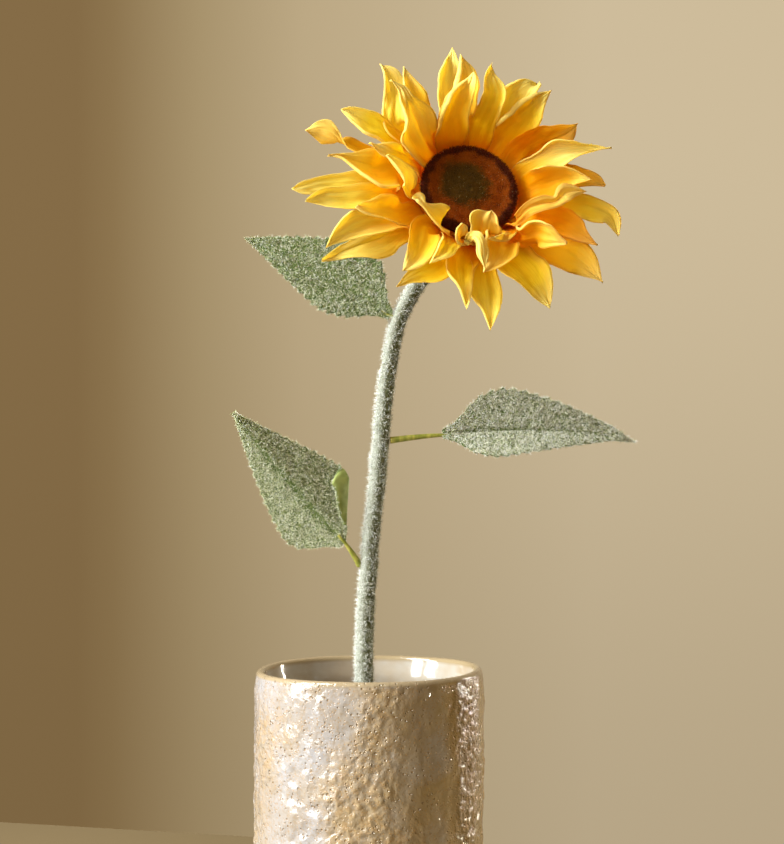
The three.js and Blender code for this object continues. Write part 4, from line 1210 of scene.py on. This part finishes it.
def leaf_grid(leaf):
    """A leaf's surface with its teeth: rows from base to tip, columns from its right margin to its left."""
    base, tip = np.array(leaf.base, float), np.array(leaf.tip, float)
    chord = tip - base
    across = unit(np.cross(chord, np.array(leaf.facing, float)))
    face = unit(np.cross(across, chord))
    belly = base + chord * 0.5 + UP * 2 * leaf.arch + face * 0.6 * leaf.arch
    share = np.linspace(0, 1, BLADE["rows"])
    middle = quadratic(base, belly, tip, share)
    along = unit(np.gradient(middle, axis=0))
    side = unit(across - along * (along @ across)[:, None])
    out = np.cross(side, along)
    middle = middle - UP * (leaf.droop * smooth(share, 0.86, 1.0))[:, None]
    saw = (share * BLADE["teeth"]) % 1
    tooth = np.where(saw < 0.75, saw / 0.75, (1 - saw) / 0.25) - 0.5
    flapped = smooth(share, 0.0, FLAP["grown"]) * (1 - smooth(share, *FLAP["end"]))
    bend, thin = math.radians(leaf.fold), BLADE["thinnest"]
    halves = []
    for sign, (width, peak), flap in ((1, leaf.right, leaf.flap), (-1, leaf.left, 0)):
        reach = np.maximum(width * leaf_taper(share, peak), thin)[:, None]
        if flap:
            reach = np.minimum(reach, np.maximum(FLAP["widening"] * share, thin)[:, None])
        step = (side * sign * math.cos(bend) + out * math.sin(bend)) * reach / BLADE["columns"]
        half = [middle + step * (j + 1) for j in range(BLADE["columns"])]
        if leaf.flap:
            angle = math.radians(FLAP["roll"]) * np.minimum(1, 4 * flapped) * (flap > 0)
            rolled = np.maximum(flap * flapped, thin)[:, None]
            for j, portion in enumerate(FLAP["portions"]):
                turn = bend + angle[:, None] * min(1, (j + 1) / 3)
                half.append(half[-1] + (side * sign * np.cos(turn) + out * np.sin(turn)) * rolled * portion)
        outward = unit(half[-1] - half[-2])
        bite = reach * leaf.bite * (tooth * (1 - flapped * (flap > 0)))[:, None]
        half[-1] = half[-1] + outward * bite
        half[-2] = half[-2] + outward * bite * 0.5
        halves.append(half)
    grid = np.stack(halves[0][::-1] + [middle] + halves[1], axis=1)
    return grid + out[:, None] * leaf_relief(grid, share[:, None])[..., None]


def leaf_relief(grid, s):
    """How far a leaf's surface stands out of its plain form: the rib's furrow, side veins and puckers."""
    v = abs(np.linspace(-1, 1, grid.shape[1]))[None]
    rib = -BLADE["rib"] * np.exp(-(v * 12) ** 2) * (1 - s)
    veins = BLADE["veins"] * np.cos(2 * math.pi * (s * 9 - v * 2.2)) * smooth(v, 0.03, 0.2)
    return rib + veins * (1 - v) * (1 - s) + layered_noise(grid / 5, 71) * BLADE["pucker"]


def build_leaf(number, leaf):
    rng = np.random.default_rng(SEEDS["leaves"] + number)
    grid = leaf_grid(leaf)
    points, faces = slab(grid, BLADE["thickness"])
    under = (len(grid) - 1) * (grid.shape[1] - 1)
    shade_of_face = (np.arange(len(faces)) < under).astype(int)
    piece = mesh_piece(leaf.name + "_blade", points, faces, [LEAF_BASE, LEAF_UNDERSIDE], shade_of_face)
    finish_piece(piece, leaf.name)
    clump = leaf.even + smooth(layered_noise(grid / 0.7, 72), -0.35, 0.5)
    clump = clump * (1 - 0.85 * np.exp(-(np.linspace(-14, 14, grid.shape[1]) ** 2)))
    place, away = scattered(grid, -normals_of(grid), leaf.count, rng, clump)
    roots, normals = [place + away * BLADE["thickness"] / 2], [away]
    for column, inner in ((0, 1), (-1, -2)):
        row = np.sort(rng.uniform(0, len(grid) - 1.001, BLADE["edge_fibres"]))
        low, part = row.astype(int), (row % 1)[:, None]
        edge = mix(grid[low, column], grid[low + 1, column], part)
        roots.append(edge)
        normals.append(unit(edge - grid[low, inner]))
    flock(leaf.name + "_fuzz", np.concatenate(roots), np.concatenate(normals), rng,
          LEAF_FIBRES, leaf.fibres, length=(0.6, 1.9), width=0.13, lean=(0.35, 1.0))


def build_stalk(leaf):
    base, tip = np.array(leaf.base, float), np.array(leaf.tip, float)
    tuck = unit(tip - base) * STALK["tuck"]
    share = np.linspace(0, 1, STALK["rows"])
    line = quadratic(np.array(leaf.joint, float), base - tuck, base + tuck, share)
    radii = mix(STALK["root_radius"], STALK["tip_radius"], np.minimum(1, 1.3 * share))
    points, faces = capped(tube(line, radii, STALK["sides"])[0])
    piece = mesh_piece(leaf.name + "_stalk_plastic", points, faces, [STALK_PLASTIC])
    finish_piece(piece, leaf.name + "_stalk")


build_vase()
build_stem()
for number, spec in enumerate(WHORLS):
    build_whorl(number, spec)
build_disc()
build_sepals()
build_cup()
for number, leaf in enumerate(LEAVES):
    build_leaf(number, leaf)
    build_stalk(leaf)


# Floor and wall

# The floor ends in a slanted edge behind the vase, and past the notch on either side it runs on to the wall.
# The wall glows softly far behind it, so it hides nothing from behind.
FLOOR = {"edge": 309.0, "slope": -0.248, "nearest": 284.0, "notch": 300.0, "opening": 0.9, "reach": 4000.0,
         "level": -0.4}
WALL = {"y": 2600.0, "half_width": 7000.0, "foot": -3000.0, "top": 8000.0}


def build_wall():
    shade = Shade("wall")
    place = shade.add("TexCoord").outputs["Object"]
    axes = shade.add("SeparateXYZ", {"Vector": place})
    across = shade.math("MULTIPLY_ADD", axes.outputs["X"], 0.5, 0.5)
    # Painted light and shade: the wall is darker at the left and lighter at the right
    shade.colour = shade.ramp(across, [
        (0.2, (133, 108, 71)),
        (0.235, (141, 117, 79)),
        (0.32, (168, 147, 109)),
        (0.42, (188, 168, 132)),
        (0.7, (206, 188, 155)),
    ])
    # Painted shade: the wall is darker towards the bottom
    shade.tint(shade.spread(axes.outputs["Z"], -0.6, 0.9, 0.3, 0.0), (104, 84, 54))
    shade.set(Base_Color=rgb(0, 0, 0), Specular_IOR_Level=0.0)
    shade.set(Emission_Color=shade.colour, Emission_Strength=1.0)
    x = np.linspace(-WALL["half_width"], WALL["half_width"], 5)
    wall = np.array([[(at, WALL["y"], z) for at in x] for z in (WALL["foot"], WALL["top"])])
    mesh_piece("wall", wall.reshape(-1, 3), strip_faces(2, len(x)), [shade.material])


def build_floor():
    shade = Shade("floor")
    # Painted shade: the floor is darker towards the back and away from the vase
    deep_shade = shade.add("SeparateXYZ", {"Vector": shade.place()}).outputs["Y"]
    shade.colour = shade.mottled(deep_shade, 0.08, 0.3, (160, 148, 124), (112, 95, 66))
    far = shade.add("VectorMath", {0: shade.place()}, operation="LENGTH").outputs["Value"]
    shade.tint(shade.spread(far, 0.35, 1.2), (96, 83, 62))
    material = shade.finished(Roughness=0.8, Specular_IOR_Level=0.2)
    x = np.linspace(-FLOOR["reach"], FLOOR["reach"], 81)
    edge = np.maximum(FLOOR["edge"] + FLOOR["slope"] * x, FLOOR["nearest"])
    edge = edge + FLOOR["opening"] * np.maximum(0, abs(x) - FLOOR["notch"])
    edge = np.minimum(edge, WALL["y"])
    floor = np.stack([points_of(x, y, FLOOR["level"]) for y in (-FLOOR["reach"], edge)])
    mesh_piece("floor", floor.reshape(-1, 3), strip_faces(2, len(x)), [material])


def lamp(name, place, target, size, power, colour, spread=math.pi):
    """A rectangle of light at a place in metres that shines towards another."""
    data = bpy.data.lights.new(name, "AREA")
    data.shape = "RECTANGLE"
    data.size, data.size_y = size
    data.energy = power
    data.color = colour
    data.spread = spread
    made = new_object(name, data)
    made.location = Vector(place)
    made.rotation_euler = (Vector(target) - Vector(place)).to_track_quat("-Z", "Y").to_euler()


build_wall()
build_floor()
MIDDLE = (0.02, -0.06, 0.25)
LOW_ON_THE_VASE = (0.05, -0.03, 0.09)
DAYLIGHT, LAMPLIGHT, REFLECTED = (0.91, 0.97, 1.0), (1.0, 0.9, 0.72), (1.0, 0.95, 0.82)
PANE = {"target": MIDDLE, "size": (0.36, 1.9), "colour": DAYLIGHT, "spread": 2.3}
lamp("window_pane_1", (-1.22, -0.78, 0.98), power=27.5, **PANE)
lamp("window_pane_2", (-1.38, -0.34, 0.98), power=37.5, **PANE)
lamp("room", (-0.3, -1.7, 1.1), MIDDLE, size=(1.4, 1.4), power=7.5, colour=LAMPLIGHT)
lamp("back_right", (0.82, 0.43, 0.22), LOW_ON_THE_VASE, size=(0.016, 0.4), power=0.75, colour=REFLECTED,
     spread=1.0)

ROOM_GLOW = {"Color": (1.0, 0.76, 0.42, 1.0), "Strength": 0.3}
world = bpy.data.worlds.new("world")
bpy.context.scene.world = world
world.use_nodes = True
background = world.node_tree.nodes["Background"]
for key, value in ROOM_GLOW.items():
    background.inputs[key].default_value = value

view = bpy.context.scene.view_settings
view.view_transform = "Standard"

camera = bpy.data.cameras.new("camera")
camera.sensor_width = CAMERA["sensor_mm"]
camera.lens = CAMERA["focal_px"] / CAMERA["long_side_px"] * CAMERA["sensor_mm"]
camera.clip_start, camera.clip_end = 0.05, 20.0
eye = new_object("camera", camera)
eye.location = Vector(CAMERA["place"]) * MM
eye.rotation_euler = (math.pi / 2, 0, 0)
bpy.context.scene.camera = eye
